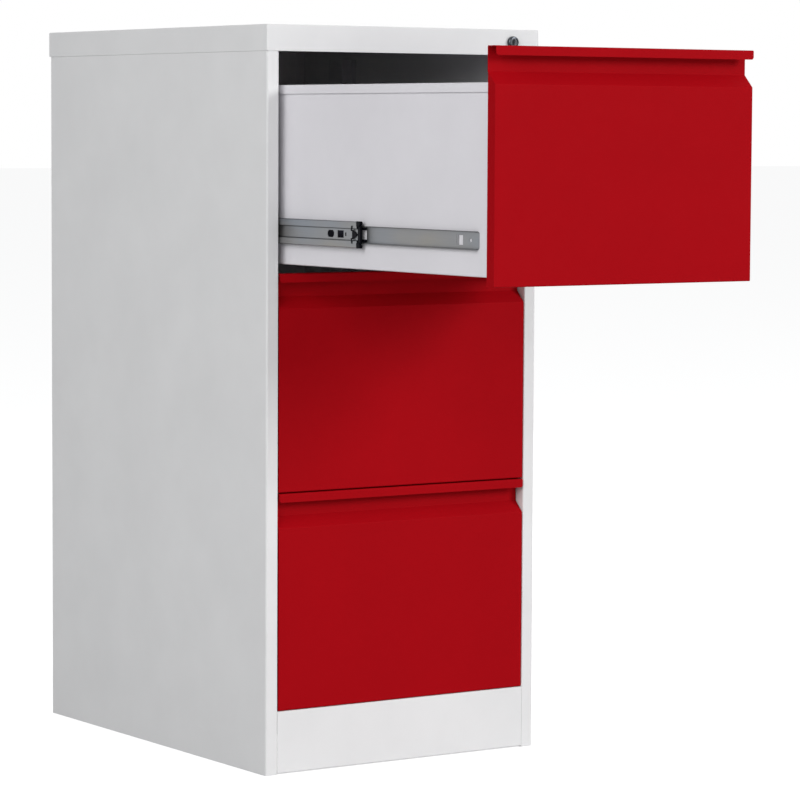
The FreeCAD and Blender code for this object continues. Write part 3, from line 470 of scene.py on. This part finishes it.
class CabinetSizes(bpy.types.PropertyGroup):
    """Roundings and small sizes of the cabinet's pieces."""

    cut_edge: FloatProperty(
        name="Cut Edge", description="Rounding that the coat gives a cut edge of sheet",
        default=0.3 * MM, min=0.0, unit="LENGTH")
    slide_edge: FloatProperty(
        name="Slide Edge", description="Rounding of a slide member's folds and cut edges",
        default=0.25 * MM, min=0.0, unit="LENGTH")
    moulded_edge: FloatProperty(
        name="Moulded Edge", description="Rounding of the edges of a moulded piece",
        default=0.3 * MM, min=0.0, unit="LENGTH")
    lock_rim: FloatProperty(
        name="Lock Rim", description="Rounding of the lock head's front rim",
        default=2.6 * MM, min=0.0, unit="LENGTH")
    keyway_width: FloatProperty(
        name="Keyway Width", description="Width of the slot in the plug",
        default=1.7 * MM, min=0.0, unit="LENGTH")
    keyway_height: FloatProperty(
        name="Keyway Height", description="Height of the slot in the plug",
        default=7.2 * MM, min=0.0, unit="LENGTH")
    outer_sheet: FloatProperty(
        name="Outer Sheet", description="Sheet of a slide's outer member",
        default=1.2 * MM, min=0.0, unit="LENGTH")
    middle_sheet: FloatProperty(
        name="Middle Sheet", description="Sheet of a slide's middle member",
        default=1.0 * MM, min=0.0, unit="LENGTH")
    ball_room: FloatProperty(
        name="Ball Room", description="Room between a ball and each of its races",
        default=0.1 * MM, min=0.0, unit="LENGTH")
    ball_offset: FloatProperty(
        name="Ball Offset", description="Middle of a ball from the middle of its cage, towards the drawer",
        default=0.3 * MM, unit="LENGTH")
    balls_per_row: IntProperty(
        name="Balls Per Row", description="Balls on one side of a cage",
        default=12, min=2)
    cage_wall: FloatProperty(
        name="Cage Wall", description="Sheet of a ball cage",
        default=0.4 * MM, min=0.0, unit="LENGTH")


class CabinetFinishes(bpy.types.PropertyGroup):
    """Colours and textures of the cabinet's finishes."""

    case_colour: FloatVectorProperty(
        name="Case", description="Powder coat of the case", subtype="COLOR",
        default=(0.79, 0.79, 0.795), min=0.0, max=1.0)
    inner_colour: FloatVectorProperty(
        name="Inner Frame", description="Powder coat of the uprights and the base", subtype="COLOR",
        default=(0.68, 0.685, 0.70), min=0.0, max=1.0)
    tray_colour: FloatVectorProperty(
        name="Trays", description="Powder coat of the drawers' trays", subtype="COLOR",
        default=(0.79, 0.775, 0.81), min=0.0, max=1.0)
    front_colour: FloatVectorProperty(
        name="Fronts", description="Powder coat of the drawers' fronts", subtype="COLOR",
        default=(0.36, 0.0025, 0.0062), min=0.0, max=1.0)
    plastic_colour: FloatVectorProperty(
        name="Plastic", description="Moulded bumpers and levers", subtype="COLOR",
        default=(0.003, 0.003, 0.005), min=0.0, max=1.0)
    slide_tint: FloatVectorProperty(
        name="Slides", description="Zinc-plated strip of the slides", subtype="COLOR",
        default=(0.25, 0.255, 0.265), min=0.0, max=1.0)
    # Painted shade: the cages are near-black so that the holes in the slides look dark.
    cage_shade_tint: FloatVectorProperty(
        name="Cages", description="Blued strip of the ball cages, near-black as painted shade", subtype="COLOR",
        default=(0.005, 0.005, 0.007), min=0.0, max=1.0)
    lock_tint: FloatVectorProperty(
        name="Lock Works", description="Zinc-plated nut, cam, bar and hooks", subtype="COLOR",
        default=(0.45, 0.45, 0.44), min=0.0, max=1.0)
    chrome_tint: FloatVectorProperty(
        name="Lock Head", description="Chrome of the lock's head", subtype="COLOR",
        default=(0.07, 0.075, 0.085), min=0.0, max=1.0)
    plug_tint: FloatVectorProperty(
        name="Lock Plug", description="Turned face of the lock's plug", subtype="COLOR",
        default=(0.09, 0.092, 0.10), min=0.0, max=1.0)
    ball_tint: FloatVectorProperty(
        name="Balls", description="Polished bearing balls", subtype="COLOR",
        default=(0.6, 0.6, 0.62), min=0.0, max=1.0)
    coat_roughness: FloatProperty(
        name="Coat Roughness", description="Middle roughness of the powder coat",
        default=0.55, min=0.0, max=1.0, subtype="FACTOR")
    zinc_roughness: FloatProperty(
        name="Zinc Roughness", description="Middle roughness of the zinc-plated strip",
        default=0.4, min=0.0, max=1.0, subtype="FACTOR")
    white_gloss: FloatProperty(
        name="White Gloss", description="Specular level of the white coats",
        default=0.05, min=0.0, max=1.0, subtype="FACTOR")
    red_gloss: FloatProperty(
        name="Red Gloss", description="Specular level of the red coat",
        default=0.02, min=0.0, max=1.0, subtype="FACTOR")
    band_height: FloatProperty(
        name="Band Height", description="Height of the bands along a middle member, outside its jogs",
        default=9.6 * MM, min=0.0, unit="LENGTH")
    # Half widths of the painted shade lines along the slides' jogs and races.
    jog_shade_line: FloatProperty(
        name="Jog Line", description="Half width of the painted-shade line along a middle member's jogs",
        default=1.2 * MM, min=0.0001, unit="LENGTH")
    race_shade_line: FloatProperty(
        name="Race Line", description="Half width of the painted-shade line along an inner member's races",
        default=1.7 * MM, min=0.0001, unit="LENGTH")
    peel_width: FloatProperty(
        name="Peel Width", description="Width of the coat's orange peel",
        default=1.1 * MM, min=0.0001, unit="LENGTH")
    peel_depth: FloatProperty(
        name="Peel Depth", description="Depth of the coat's orange peel",
        default=0.02 * MM, min=0.0, unit="LENGTH")


class CabinetStudio(bpy.types.PropertyGroup):
    """Camera, lamps and floor."""

    camera_place: FloatVectorProperty(
        name="Camera", description="Where the camera stands", subtype="XYZ", unit="LENGTH",
        default=(-2.7161, -4.3462, 0.8919))
    camera_turn: FloatProperty(
        name="Turn", description="Heading of the camera, from +Y towards +X", subtype="ANGLE",
        default=math.radians(33.67))
    camera_tilt: FloatProperty(
        name="Tilt", description="How far the camera looks up", subtype="ANGLE",
        default=math.radians(-4.49))
    camera_roll: FloatProperty(
        name="Roll", description="Turn of the camera about its line of sight", subtype="ANGLE",
        default=math.radians(0.28))
    lens: FloatProperty(
        name="Lens", description="Focal length in millimetres on a sensor 36 mm wide",
        default=156.84, min=1.0, unit="CAMERA")
    shift_x: FloatProperty(
        name="Shift X", description="Sideways shift of the frame, as a share of its width", default=0.0155)
    shift_y: FloatProperty(
        name="Shift Y", description="Upward shift of the frame, as a share of its width", default=0.0006)
    ambient: FloatProperty(
        name="Ambient", description="Level of the even light from all round", default=0.3, min=0.0)
    key_power: FloatProperty(
        name="Key Lamp", description="Lamp in front, on the right", default=690.0, min=0.0, unit="POWER")
    fill_power: FloatProperty(
        name="Fill Lamp", description="Wide lamp low in front", default=40.0, min=0.0, unit="POWER")
    side_power: FloatProperty(
        name="Side Lamp", description="Wide lamp high on the left", default=186.0, min=0.0, unit="POWER")
    rear_power: FloatProperty(
        name="Rear Lamp", description="Wide lamp behind, on the right", default=60.0, min=0.0, unit="POWER")
    floor_colour: FloatVectorProperty(
        name="Floor", description="Pale floor", subtype="COLOR",
        default=(0.5, 0.5, 0.5), min=0.0, max=1.0)


# Case

CASE_SHELL = ["left_side_panel", "right_side_panel", "back_panel", "top_cap", "top_front_rail", "plinth"]
INNER_FRAME = ["base_pan", "base_cross_brace", "left_uprights", "right_uprights"]


class CABINET_OT_case_shell(bpy.types.Operator):
    """Finish the side panels, back, cap, fascia rail and plinth"""

    bl_idname = "cabinet.case_shell"
    bl_label = "Case Shell"

    def execute(self, context):
        sizes = context.scene.cabinet_sizes
        for name in CASE_SHELL:
            finish_node(name, "case_powder_coat", sizes.cut_edge)
        return {"FINISHED"}


class CABINET_OT_inner_frame(bpy.types.Operator):
    """Finish the base pan, the brace and the slotted uprights"""

    bl_idname = "cabinet.inner_frame"
    bl_label = "Inner Frame"

    def execute(self, context):
        sizes = context.scene.cabinet_sizes
        for name in INNER_FRAME:
            finish_node(name, "inner_powder_coat", sizes.cut_edge)
        return {"FINISHED"}


# Drawers

class CABINET_OT_drawer_fronts(bpy.types.Operator):
    """Finish the red fronts"""

    bl_idname = "cabinet.drawer_fronts"
    bl_label = "Drawer Fronts"

    def execute(self, context):
        sizes = context.scene.cabinet_sizes
        for number in DRAWERS:
            finish_node("drawer_%d_front" % number, "red_powder_coat", sizes.cut_edge)
        return {"FINISHED"}


class CABINET_OT_drawer_trays(bpy.types.Operator):
    """Finish the trays, their backs, the panels behind the fronts and the lock catches"""

    bl_idname = "cabinet.drawer_trays"
    bl_label = "Drawer Trays"

    def execute(self, context):
        sizes = context.scene.cabinet_sizes
        for number in DRAWERS:
            for part in ("tray", "back", "inner_panel"):
                finish_node("drawer_%d_%s" % (number, part), "tray_powder_coat", sizes.cut_edge)
            finish_node("drawer_%d_lock_catch" % number, "lock_zinc", sizes.slide_edge)
        return {"FINISHED"}


# Slides

class CABINET_OT_slide_members(bpy.types.Operator):
    """Finish the outer, middle and inner members of the slides"""

    bl_idname = "cabinet.slide_members"
    bl_label = "Slide Members"

    def execute(self, context):
        sizes = context.scene.cabinet_sizes
        for number in DRAWERS:
            finish_node("drawer_%d_slide_outer_members" % number, "slide_zinc", sizes.slide_edge)
            for side in SIDES:
                for member in ("middle", "inner"):
                    node = "drawer_%d_slide_%s_%s" % (number, member, side)
                    finish_node(node, member + "_zinc", sizes.slide_edge, join_flats=False)
        return {"FINISHED"}


def ball_race(outside, inside, sheet, room):
    """Height of a ball row above the slide's axis and the radius of its balls, from the members
    that the balls run between and the sheet of the outer one."""
    low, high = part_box(outside)
    roof = (high.z - low.z) / 2 - sheet
    low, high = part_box(inside)
    foot = (high.z - low.z) / 2
    return (roof + foot) / 2, (roof - foot) / 2 - room


def cage_strip(bm, side, box, race, sizes):
    """One U-shaped cage: a plain web, and two flanges with a round pocket for each ball. Gives the
    middles of its balls."""
    low, high = box
    row, radius = race
    pocket = 1.08 * radius
    wall = sizes.cage_wall
    reach = min(abs(low.x), abs(high.x))
    web = max(abs(low.x), abs(high.x)) - wall
    middle = (high.z + low.z) / 2
    length = high.y - low.y
    first = low.y + 2 * radius
    pitch = (length - 4 * radius) / (sizes.balls_per_row - 1)
    ball_x = (reach + web + wall) / 2 - sizes.ball_offset
    flange = [(reach, low.y), (web, low.y), (web, high.y), (reach, high.y)]
    centres = [first + pitch * index for index in range(sizes.balls_per_row)]
    holes = [arc((ball_x, y), pocket, 0, 345, 23) for y in centres]
    for sign in (-1, 1):
        z = middle + sign * row
        holed_plate(bm, flange, holes, lambda a, b, z=z: Vector((side * a, b, z)))
    sheet = [(low.y, -row), (high.y, -row), (high.y, row), (low.y, row)]
    holed_plate(bm, sheet, [], lambda a, b: Vector((side * web, a, middle + b)))
    return [Vector((side * ball_x, y, middle + sign * row)) for y in centres for sign in (-1, 1)]


class CABINET_OT_ball_cages(bpy.types.Operator):
    """Make the ball cages with their pockets and balls"""

    bl_idname = "cabinet.ball_cages"
    bl_label = "Ball Cages"

    def execute(self, context):
        sizes = context.scene.cabinet_sizes
        for number in DRAWERS:
            slide = "drawer_%d_slide_" % number
            races = {
                "outer": (slide + "outer_members", slide + "middle_left", sizes.outer_sheet),
                "inner": (slide + "middle_left", slide + "inner_left", sizes.middle_sheet),
            }
            for ring, (outside, inside, sheet) in races.items():
                node = "drawer_%d_%s_ball_cages" % (number, ring)
                body = "drawer_%d_%s_cages" % (number, ring)
                race = ball_race(outside, inside, sheet, sizes.ball_room)
                centres = []

                def strips(bm):
                    for side in SIDES.values():
                        centres.extend(cage_strip(bm, side, half_box(node, side), race, sizes))
                    bmesh.ops.remove_doubles(bm, verts=bm.verts, dist=0.01 * MM)

                strip_mesh = mesh_from(strips, node + "_strips")
                cages = new_piece(node + "_strips", strip_mesh, "cage_steel", body, [node])
                wall = cages.modifiers.new("wall", "SOLIDIFY")
                wall.thickness = sizes.cage_wall
                wall.offset = 0

                def balls(bm):
                    for centre in centres:
                        bmesh.ops.create_icosphere(bm, subdivisions=3, radius=race[1],
                                                   matrix=Matrix.Translation(centre))

                ball_mesh = mesh_from(balls, node + "_balls")
                new_piece(node + "_balls", ball_mesh, "ball_steel", body, [])
        return {"FINISHED"}


def facing_side(side, low, high):
    """Puts (f, v, u) in space: f back from the front of a box, v up from its middle, u inwards from
    its outer side."""
    middle = (low.z + high.z) / 2
    outer = max(abs(low.x), abs(high.x))
    return lambda f, v, u: Vector((side * (outer - u), low.y + f, middle + v))


def above_and_below(outline):
    """An outline above the slide's axis, and its mirror image below."""
    return outline, [(f, -v) for f, v in reversed(outline)]


def block(start, end, low, high):
    """Outline of a plain rectangle."""
    return [(start, low), (end, low), (end, high), (start, high)]


def bumper_shells(bm, side, low, high):
    """Waisted bar with a lobe at each end, a wedge behind it that lies in the sunken web, and a
    bowed claw from the wedge over each band."""
    place = facing_side(side, low, high)
    half = (high.z - low.z) / 2
    lobe_face, wedge_face, wedge_floor, throat, heel = (u * MM for u in (0.35, 2.05, 3.25, 4.65, 5.4))

    bar_depth = 8.0 * MM
    waist_front, waist_back = 0.7 * MM, 6.7 * MM
    waist_half = half - 7.4 * MM
    core_half, heel_half = waist_half + 1.5 * MM, waist_half - 1.3 * MM
    extruded(bm, block(waist_front, waist_back, -core_half, core_half), place, wedge_face, throat)
    extruded(bm, block(waist_front, waist_back, -heel_half, heel_half), place, throat - 0.2 * MM, heel)

    lobe_corner = 1.3 * MM
    lobe_foot = half - 4.6 * MM
    lobe = [(0.0, lobe_foot), (2.4 * MM, waist_half), (bar_depth, waist_half), (bar_depth, half), (0.0, half)]
    for outline in above_and_below(rounded(lobe, lobe_corner, 6)):
        extruded(bm, outline, place, lobe_face, throat)
    cheek = block(0.0, bar_depth, lobe_foot, half - 0.2 * MM)
    for outline in above_and_below(rounded(cheek, lobe_corner, 6)):
        extruded(bm, outline, place, throat - 0.3 * MM, heel)

    wedge_end = high.y - low.y - 2.0 * MM
    wedge_half = 6.0 * MM
    flank = [(bar_depth + f * MM, v * MM)
             for f, v in ((2.4, 1.3), (3.4, 2.6), (5.2, 3.7), (7.5, 4.4), (10.0, 5.1))]
    flank.append((wedge_end, wedge_half))
    top, bottom = above_and_below(flank)
    extruded(bm, top + bottom, place, wedge_face, wedge_floor)
    neck_half, neck_sheet = 1.2 * MM, 0.4 * MM
    neck = block(6.0 * MM, bar_depth + 4.0 * MM, -neck_half, neck_half)
    extruded(bm, neck, place, wedge_floor - neck_sheet, wedge_floor)

    claw_start = wedge_end - 2.6 * MM
    claw_width, claw_sheet = 2.55 * MM, 0.62 * MM
    claw_foot = wedge_half - 1.4 * MM
    claw_rise, claw_bow = 1.8 * MM, 0.07 * MM
    for outline in above_and_below(block(claw_start, wedge_end, claw_foot, wedge_half)):
        extruded(bm, outline, place, 0.05 * MM, wedge_floor)
    spine = [(claw_start - claw_bow * step ** 2, claw_foot + claw_rise * step) for step in range(5)]
    for outline in above_and_below(spine + [(f + claw_width, v) for f, v in reversed(spine)]):
        extruded(bm, outline, place, 0.0, claw_sheet)


def lever_shells(bm, side, low, high):
    """Two prongs round the window, a tapered plate behind them and a ribbed thumb tab on it."""
    place = facing_side(side, low, high)
    half = (high.z - low.z) / 2
    length = high.y - low.y
    seat = abs(high.x - low.x)
    rib_face, thumb_face, face = 0.05 * MM, 0.6 * MM, 1.6 * MM
    lap = 0.2 * MM

    prong_length, prong_height = 13.0 * MM, 3.1 * MM
    prong = block(0.0, prong_length + 2.0 * MM, half - prong_height, half)
    for outline in above_and_below(rounded(prong, 1.0 * MM, 5)):
        extruded(bm, outline, place, face, seat)

    tab_start = length - 9.0 * MM
    tip_half = half - 4.0 * MM
    plate = [(prong_length, -half), (tab_start, -half), (length, -tip_half), (length, tip_half),
             (tab_start, half), (prong_length, half)]
    extruded(bm, rounded(plate, 1.5 * MM), place, face, seat)
    thumb_start, thumb_end = tab_start + 0.4 * MM, length - 0.3 * MM
    thumb_half, thumb_tip = half - 1.6 * MM, tip_half - 0.8 * MM
    thumb = [(thumb_start, -thumb_half), (thumb_end, -thumb_tip), (thumb_end, thumb_tip),
             (thumb_start, thumb_half)]
    extruded(bm, rounded(thumb, 1.2 * MM), place, thumb_face, face + lap)

    rib_width, rib_pitch, rib_growth = 1.0 * MM, 2.2 * MM, 0.6 * MM
    for index in range(3):
        rib_end = length - 1.5 * MM - index * rib_pitch
        rib_half = tip_half - 1.6 * MM + index * rib_growth
        rib = block(rib_end - rib_width, rib_end, -rib_half, rib_half)
        extruded(bm, rib, place, rib_face, thumb_face + lap)


def moulded_pair(node, body, shells):
    """The left and right piece of a node, moulded in black; shells(bm, side, low, high) makes one."""
    def both_sides(bm):
        for side in SIDES.values():
            shells(bm, side, *half_box(node, side))

    name = node + "_moulding"
    piece = new_piece(name, mesh_from(both_sides, name), "black_moulding", body, [node])
    edges = piece.modifiers.new("edges", "BEVEL")
    edges.width = bpy.context.scene.cabinet_sizes.moulded_edge
    edges.segments = 3
    edges.limit_method = "ANGLE"
    edges.angle_limit = math.radians(40)
    weigh_normals(piece, 60)


class CABINET_OT_slide_bumpers(bpy.types.Operator):
    """Make the moulded bumpers on the front ends of the middle members"""

    bl_idname = "cabinet.slide_bumpers"
    bl_label = "Slide Bumpers"

    def execute(self, context):
        for number in DRAWERS:
            node, body = "drawer_%d_slide_bumpers" % number, "drawer_%d_middle_slides" % number
            moulded_pair(node, body, bumper_shells)
        return {"FINISHED"}


class CABINET_OT_release_levers(bpy.types.Operator):
    """Make the moulded levers that let a drawer off its slides"""

    bl_idname = "cabinet.release_levers"
    bl_label = "Release Levers"

    def execute(self, context):
        for number in DRAWERS:
            node, body = "drawer_%d_release_levers" % number, "drawer_%d" % number
            moulded_pair(node, body, lever_shells)
        return {"FINISHED"}


# Lock

class CABINET_OT_lock_head(bpy.types.Operator):
    """Make the chromed head with its rounded rim, and the barrel behind it"""

    bl_idname = "cabinet.lock_head"
    bl_label = "Lock Head"

    def execute(self, context):
        low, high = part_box("lock_housing")
        axis = lock_axis()
        front = Vector((axis.x, low.y, axis.z))
        rim = context.scene.cabinet_sizes.lock_rim
        head = half_height("lock_housing")
        bore = half_height("lock_plug") + 0.1 * MM
        mouth = 0.35 * MM
        proud, bevel = 6.0 * MM, 0.3 * MM
        barrel = 7.5 * MM
        length = high.y - low.y
        profile = [(bore, length), (bore, 0.5 * MM)]
        profile += arc((bore + mouth, mouth), mouth, 195, 270, 3)
        profile += arc((head - rim, rim), rim, -90, 0, 9)
        profile += [(head, proud - 0.5 * MM), (head - bevel, proud), (barrel, proud), (barrel, length)]
        mesh = mesh_from(lambda bm: lathe(bm, profile, front, 96, closed=True), "lock_head")
        piece = new_piece("lock_head", mesh, "lock_chrome", "case", ["lock_housing"])
        weigh_normals(piece, 50)
        return {"FINISHED"}


class CABINET_OT_lock_plug(bpy.types.Operator):
    """Make the plug with its keyway, and its tail"""

    bl_idname = "cabinet.lock_plug"
    bl_label = "Lock Plug"

    def execute(self, context):
        sizes = context.scene.cabinet_sizes
        low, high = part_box("lock_plug")
        axis = lock_axis()
        front = Vector((axis.x, low.y, axis.z))
        radius = half_height("lock_plug")
        length = high.y - low.y
        edge = 0.4 * MM
        tail_start, tail_radius = length - 4.0 * MM, radius - 1.2 * MM
        keyway_depth = 9.0 * MM
        steps = 72
        profile = [(radius - edge, 0.0), (radius - edge * 0.3, edge * 0.3), (radius, edge),
                   (radius, tail_start), (tail_radius, tail_start), (tail_radius, length)]
        w, h = sizes.keyway_width / 2, sizes.keyway_height / 2
        keyway = rounded([(-w, -h), (w * 0.4, -h), (w * 0.4, -h * 0.45), (w, -h * 0.35), (w, h * 0.2),
                          (w * 0.55, h * 0.3), (w * 0.55, h), (-w * 0.55, h), (-w * 0.55, h * 0.6),
                          (-w, h * 0.5)], 0.2 * MM, 2)

        def build(bm):
            rings = lathe(bm, profile, front, steps)
            bm.faces.new(rings[-1])
            mouth = [bm.verts.new(front + Vector((a, 0, b))) for a, b in keyway]
            foot = [bm.verts.new(front + Vector((a, keyway_depth, b))) for a, b in keyway]
            rim = [bm.edges.get((rings[0][index - 1], rings[0][index])) for index in range(steps)]
            slot = [bm.edges.new((mouth[index - 1], mouth[index])) for index in range(len(mouth))]
            bmesh.ops.triangle_fill(bm, use_beauty=True, use_dissolve=False, edges=rim + slot)
            for index in range(len(mouth)):
                bm.faces.new((mouth[index - 1], mouth[index], foot[index], foot[index - 1]))
            bm.faces.new(foot)

        mesh = mesh_from(build, "lock_plug_turned")
        piece = new_piece("lock_plug_turned", mesh, "plug_steel", "lock_core", ["lock_plug"])
        weigh_normals(piece, 50)
        return {"FINISHED"}


class CABINET_OT_lock_works(bpy.types.Operator):
    """Finish the nut, cam, bar, hooks and guides of the lock"""

    bl_idname = "cabinet.lock_works"
    bl_label = "Lock Works"

    def execute(self, context):
        sizes = context.scene.cabinet_sizes
        for name in ("lock_nut", "lock_cam", "lock_bar", "lock_hooks", "lock_bar_guides"):
            finish_node(name, "lock_zinc", sizes.slide_edge)
        return {"FINISHED"}


# Studio

def lamp(name, power, turn, tilt, distance, width, height):
    """Lamp aimed at the cabinet's middle, turned from straight ahead towards +X and tilted up."""
    target = Vector((0.0, -0.3, 0.5))
    turn, tilt = math.radians(turn), math.radians(tilt)
    away = Vector((math.sin(turn) * math.cos(tilt), -math.cos(turn) * math.cos(tilt), math.sin(tilt)))
    data = bpy.data.lights.new(name, "AREA")
    data.shape = "RECTANGLE"
    data.size = width
    data.size_y = height
    data.energy = power
    item = bpy.data.objects.new(name, data)
    facing = (-away).to_track_quat("-Z", "Y").to_matrix().to_4x4()
    item.matrix_world = Matrix.Translation(target + away * distance) @ facing
    bpy.context.scene.collection.objects.link(item)


def studio_camera(studio):
    """Camera at the photograph's place and angle."""
    data = bpy.data.cameras.new("studio_camera")
    data.lens = studio.lens
    data.sensor_width = 36.0
    data.shift_x = studio.shift_x
    data.shift_y = studio.shift_y
    item = bpy.data.objects.new("studio_camera", data)
    turn, tilt = studio.camera_turn, studio.camera_tilt
    ahead = Vector((math.sin(turn) * math.cos(tilt), math.cos(turn) * math.cos(tilt), math.sin(tilt)))
    right = Vector((math.cos(turn), -math.sin(turn), 0.0))
    up = right.cross(ahead)
    facing = Matrix((right, up, -ahead)).transposed()
    roll = Matrix.Rotation(studio.camera_roll, 3, "Z")
    item.matrix_world = Matrix.Translation(studio.camera_place) @ (facing @ roll).to_4x4()
    bpy.context.scene.collection.objects.link(item)
    bpy.context.scene.camera = item


def seen_or_mirrored(nodes, links):
    """1 for what the camera sees directly, in a reflection or through glass, else 0."""
    path = nodes.new("ShaderNodeLightPath")
    largest = path.outputs["Is Camera Ray"]
    for other in ("Is Glossy Ray", "Is Transmission Ray"):
        pick = nodes.new("ShaderNodeMath")
        pick.operation = "MAXIMUM"
        links.new(largest, pick.inputs[0])
        links.new(path.outputs[other], pick.inputs[1])
        largest = pick.outputs["Value"]
    return largest


def studio_world(studio):
    """Even light from all round, white where it is seen or mirrored."""
    world = bpy.data.worlds.new("studio")
    world.use_nodes = True
    nodes, links = world.node_tree.nodes, world.node_tree.links
    even = nodes["Background"]
    even.inputs["Color"].default_value = (0.97, 0.985, 1.0, 1)
    even.inputs["Strength"].default_value = studio.ambient
    white = nodes.new("ShaderNodeBackground")
    white.inputs["Color"].default_value = (1, 1, 1, 1)
    mix = nodes.new("ShaderNodeMixShader")
    links.new(seen_or_mirrored(nodes, links), mix.inputs["Fac"])
    links.new(even.outputs["Background"], mix.inputs[1])
    links.new(white.outputs["Background"], mix.inputs[2])
    links.new(mix.outputs["Shader"], nodes["World Output"].inputs["Surface"])
    bpy.context.scene.world = world


def studio_floor(studio):
    """Wide pale floor that fades into the white beyond it and keeps the cabinet's shadow."""
    reach, glow_strength = 60.0, 0.8
    bm = bmesh.new()
    bmesh.ops.create_grid(bm, x_segments=8, y_segments=8, size=reach)
    mesh = bpy.data.meshes.new("studio_floor")
    bm.to_mesh(mesh)
    bm.free()
    material = bpy.data.materials.new("floor_paper")
    material.use_nodes = True
    nodes, links = material.node_tree.nodes, material.node_tree.links
    paper = nodes["Principled BSDF"]
    paper.inputs["Base Color"].default_value = (*studio.floor_colour, 1)
    paper.inputs["Roughness"].default_value = 0.9
    paper.inputs["Specular IOR Level"].default_value = 0.0
    glow = nodes.new("ShaderNodeEmission")
    glow.inputs["Strength"].default_value = glow_strength
    lit = nodes.new("ShaderNodeAddShader")
    links.new(paper.outputs["BSDF"], lit.inputs[0])
    links.new(glow.outputs["Emission"], lit.inputs[1])
    mix = nodes.new("ShaderNodeMixShader")
    links.new(seen_or_mirrored(nodes, links), mix.inputs["Fac"])
    links.new(paper.outputs["BSDF"], mix.inputs[1])
    links.new(lit.outputs["Shader"], mix.inputs[2])
    links.new(mix.outputs["Shader"], nodes["Material Output"].inputs["Surface"])
    mesh.materials.append(material)
    floor = bpy.data.objects.new("studio_floor", mesh)
    bpy.context.scene.collection.objects.link(floor)


class CABINET_OT_stage(bpy.types.Operator):
    """Set up the camera, lamps, world and floor"""

    bl_idname = "cabinet.stage"
    bl_label = "Stage"

    def execute(self, context):
        studio = context.scene.cabinet_studio
        studio_camera(studio)
        studio_world(studio)
        studio_floor(studio)
        lamp("key_lamp", studio.key_power, turn=35, tilt=20.5, distance=12.0, width=3.9, height=3.9)
        lamp("fill_lamp", studio.fill_power, turn=0, tilt=0, distance=6.0, width=4.0, height=0.9)
        lamp("side_lamp", studio.side_power, turn=-62, tilt=24, distance=6.0, width=4.4, height=3.6)
        lamp("rear_lamp", studio.rear_power, turn=136, tilt=22, distance=5.0, width=3.0, height=3.0)
        context.scene.view_settings.view_transform = "Standard"
        return {"FINISHED"}


PIECES = (
    CABINET_OT_case_shell,
    CABINET_OT_inner_frame,
    CABINET_OT_drawer_fronts,
    CABINET_OT_drawer_trays,
    CABINET_OT_slide_members,
    CABINET_OT_ball_cages,
    CABINET_OT_slide_bumpers,
    CABINET_OT_release_levers,
    CABINET_OT_lock_head,
    CABINET_OT_lock_plug,
    CABINET_OT_lock_works,
    CABINET_OT_stage,
)
GROUPS = {
    "cabinet_sizes": CabinetSizes,
    "cabinet_finishes": CabinetFinishes,
    "cabinet_studio": CabinetStudio,
}


class CABINET_PT_pieces(bpy.types.Panel):
    """Lists the cabinet's pieces and settings"""

    bl_idname = "CABINET_PT_pieces"
    bl_label = "Filing Cabinet"
    bl_space_type = "VIEW_3D"
    bl_region_type = "UI"
    bl_category = "Cabinet"

    def draw(self, context):
        for piece in PIECES:
            self.layout.operator(piece.bl_idname)
        for name, group in GROUPS.items():
            column = self.layout.box().column()
            for setting in group.__annotations__:
                column.prop(getattr(context.scene, name), setting)


def register():
    for group in GROUPS.values():
        bpy.utils.register_class(group)
    for name, group in GROUPS.items():
        setattr(bpy.types.Scene, name, PointerProperty(type=group))
    for piece in PIECES:
        bpy.utils.register_class(piece)
    bpy.utils.register_class(CABINET_PT_pieces)


def unregister():
    bpy.utils.unregister_class(CABINET_PT_pieces)
    for piece in reversed(PIECES):
        bpy.utils.unregister_class(piece)
    for name in GROUPS:
        delattr(bpy.types.Scene, name)
    for group in reversed(list(GROUPS.values())):
        bpy.utils.unregister_class(group)


def main():
    register()
    for piece in PIECES:
        namespace, call = piece.bl_idname.split(".")
        if getattr(getattr(bpy.ops, namespace), call)() != {"FINISHED"}:
            raise RuntimeError(piece.bl_label + " did not finish")
    bpy.context.view_layer.update()


if __name__ == "__main__":
    main()
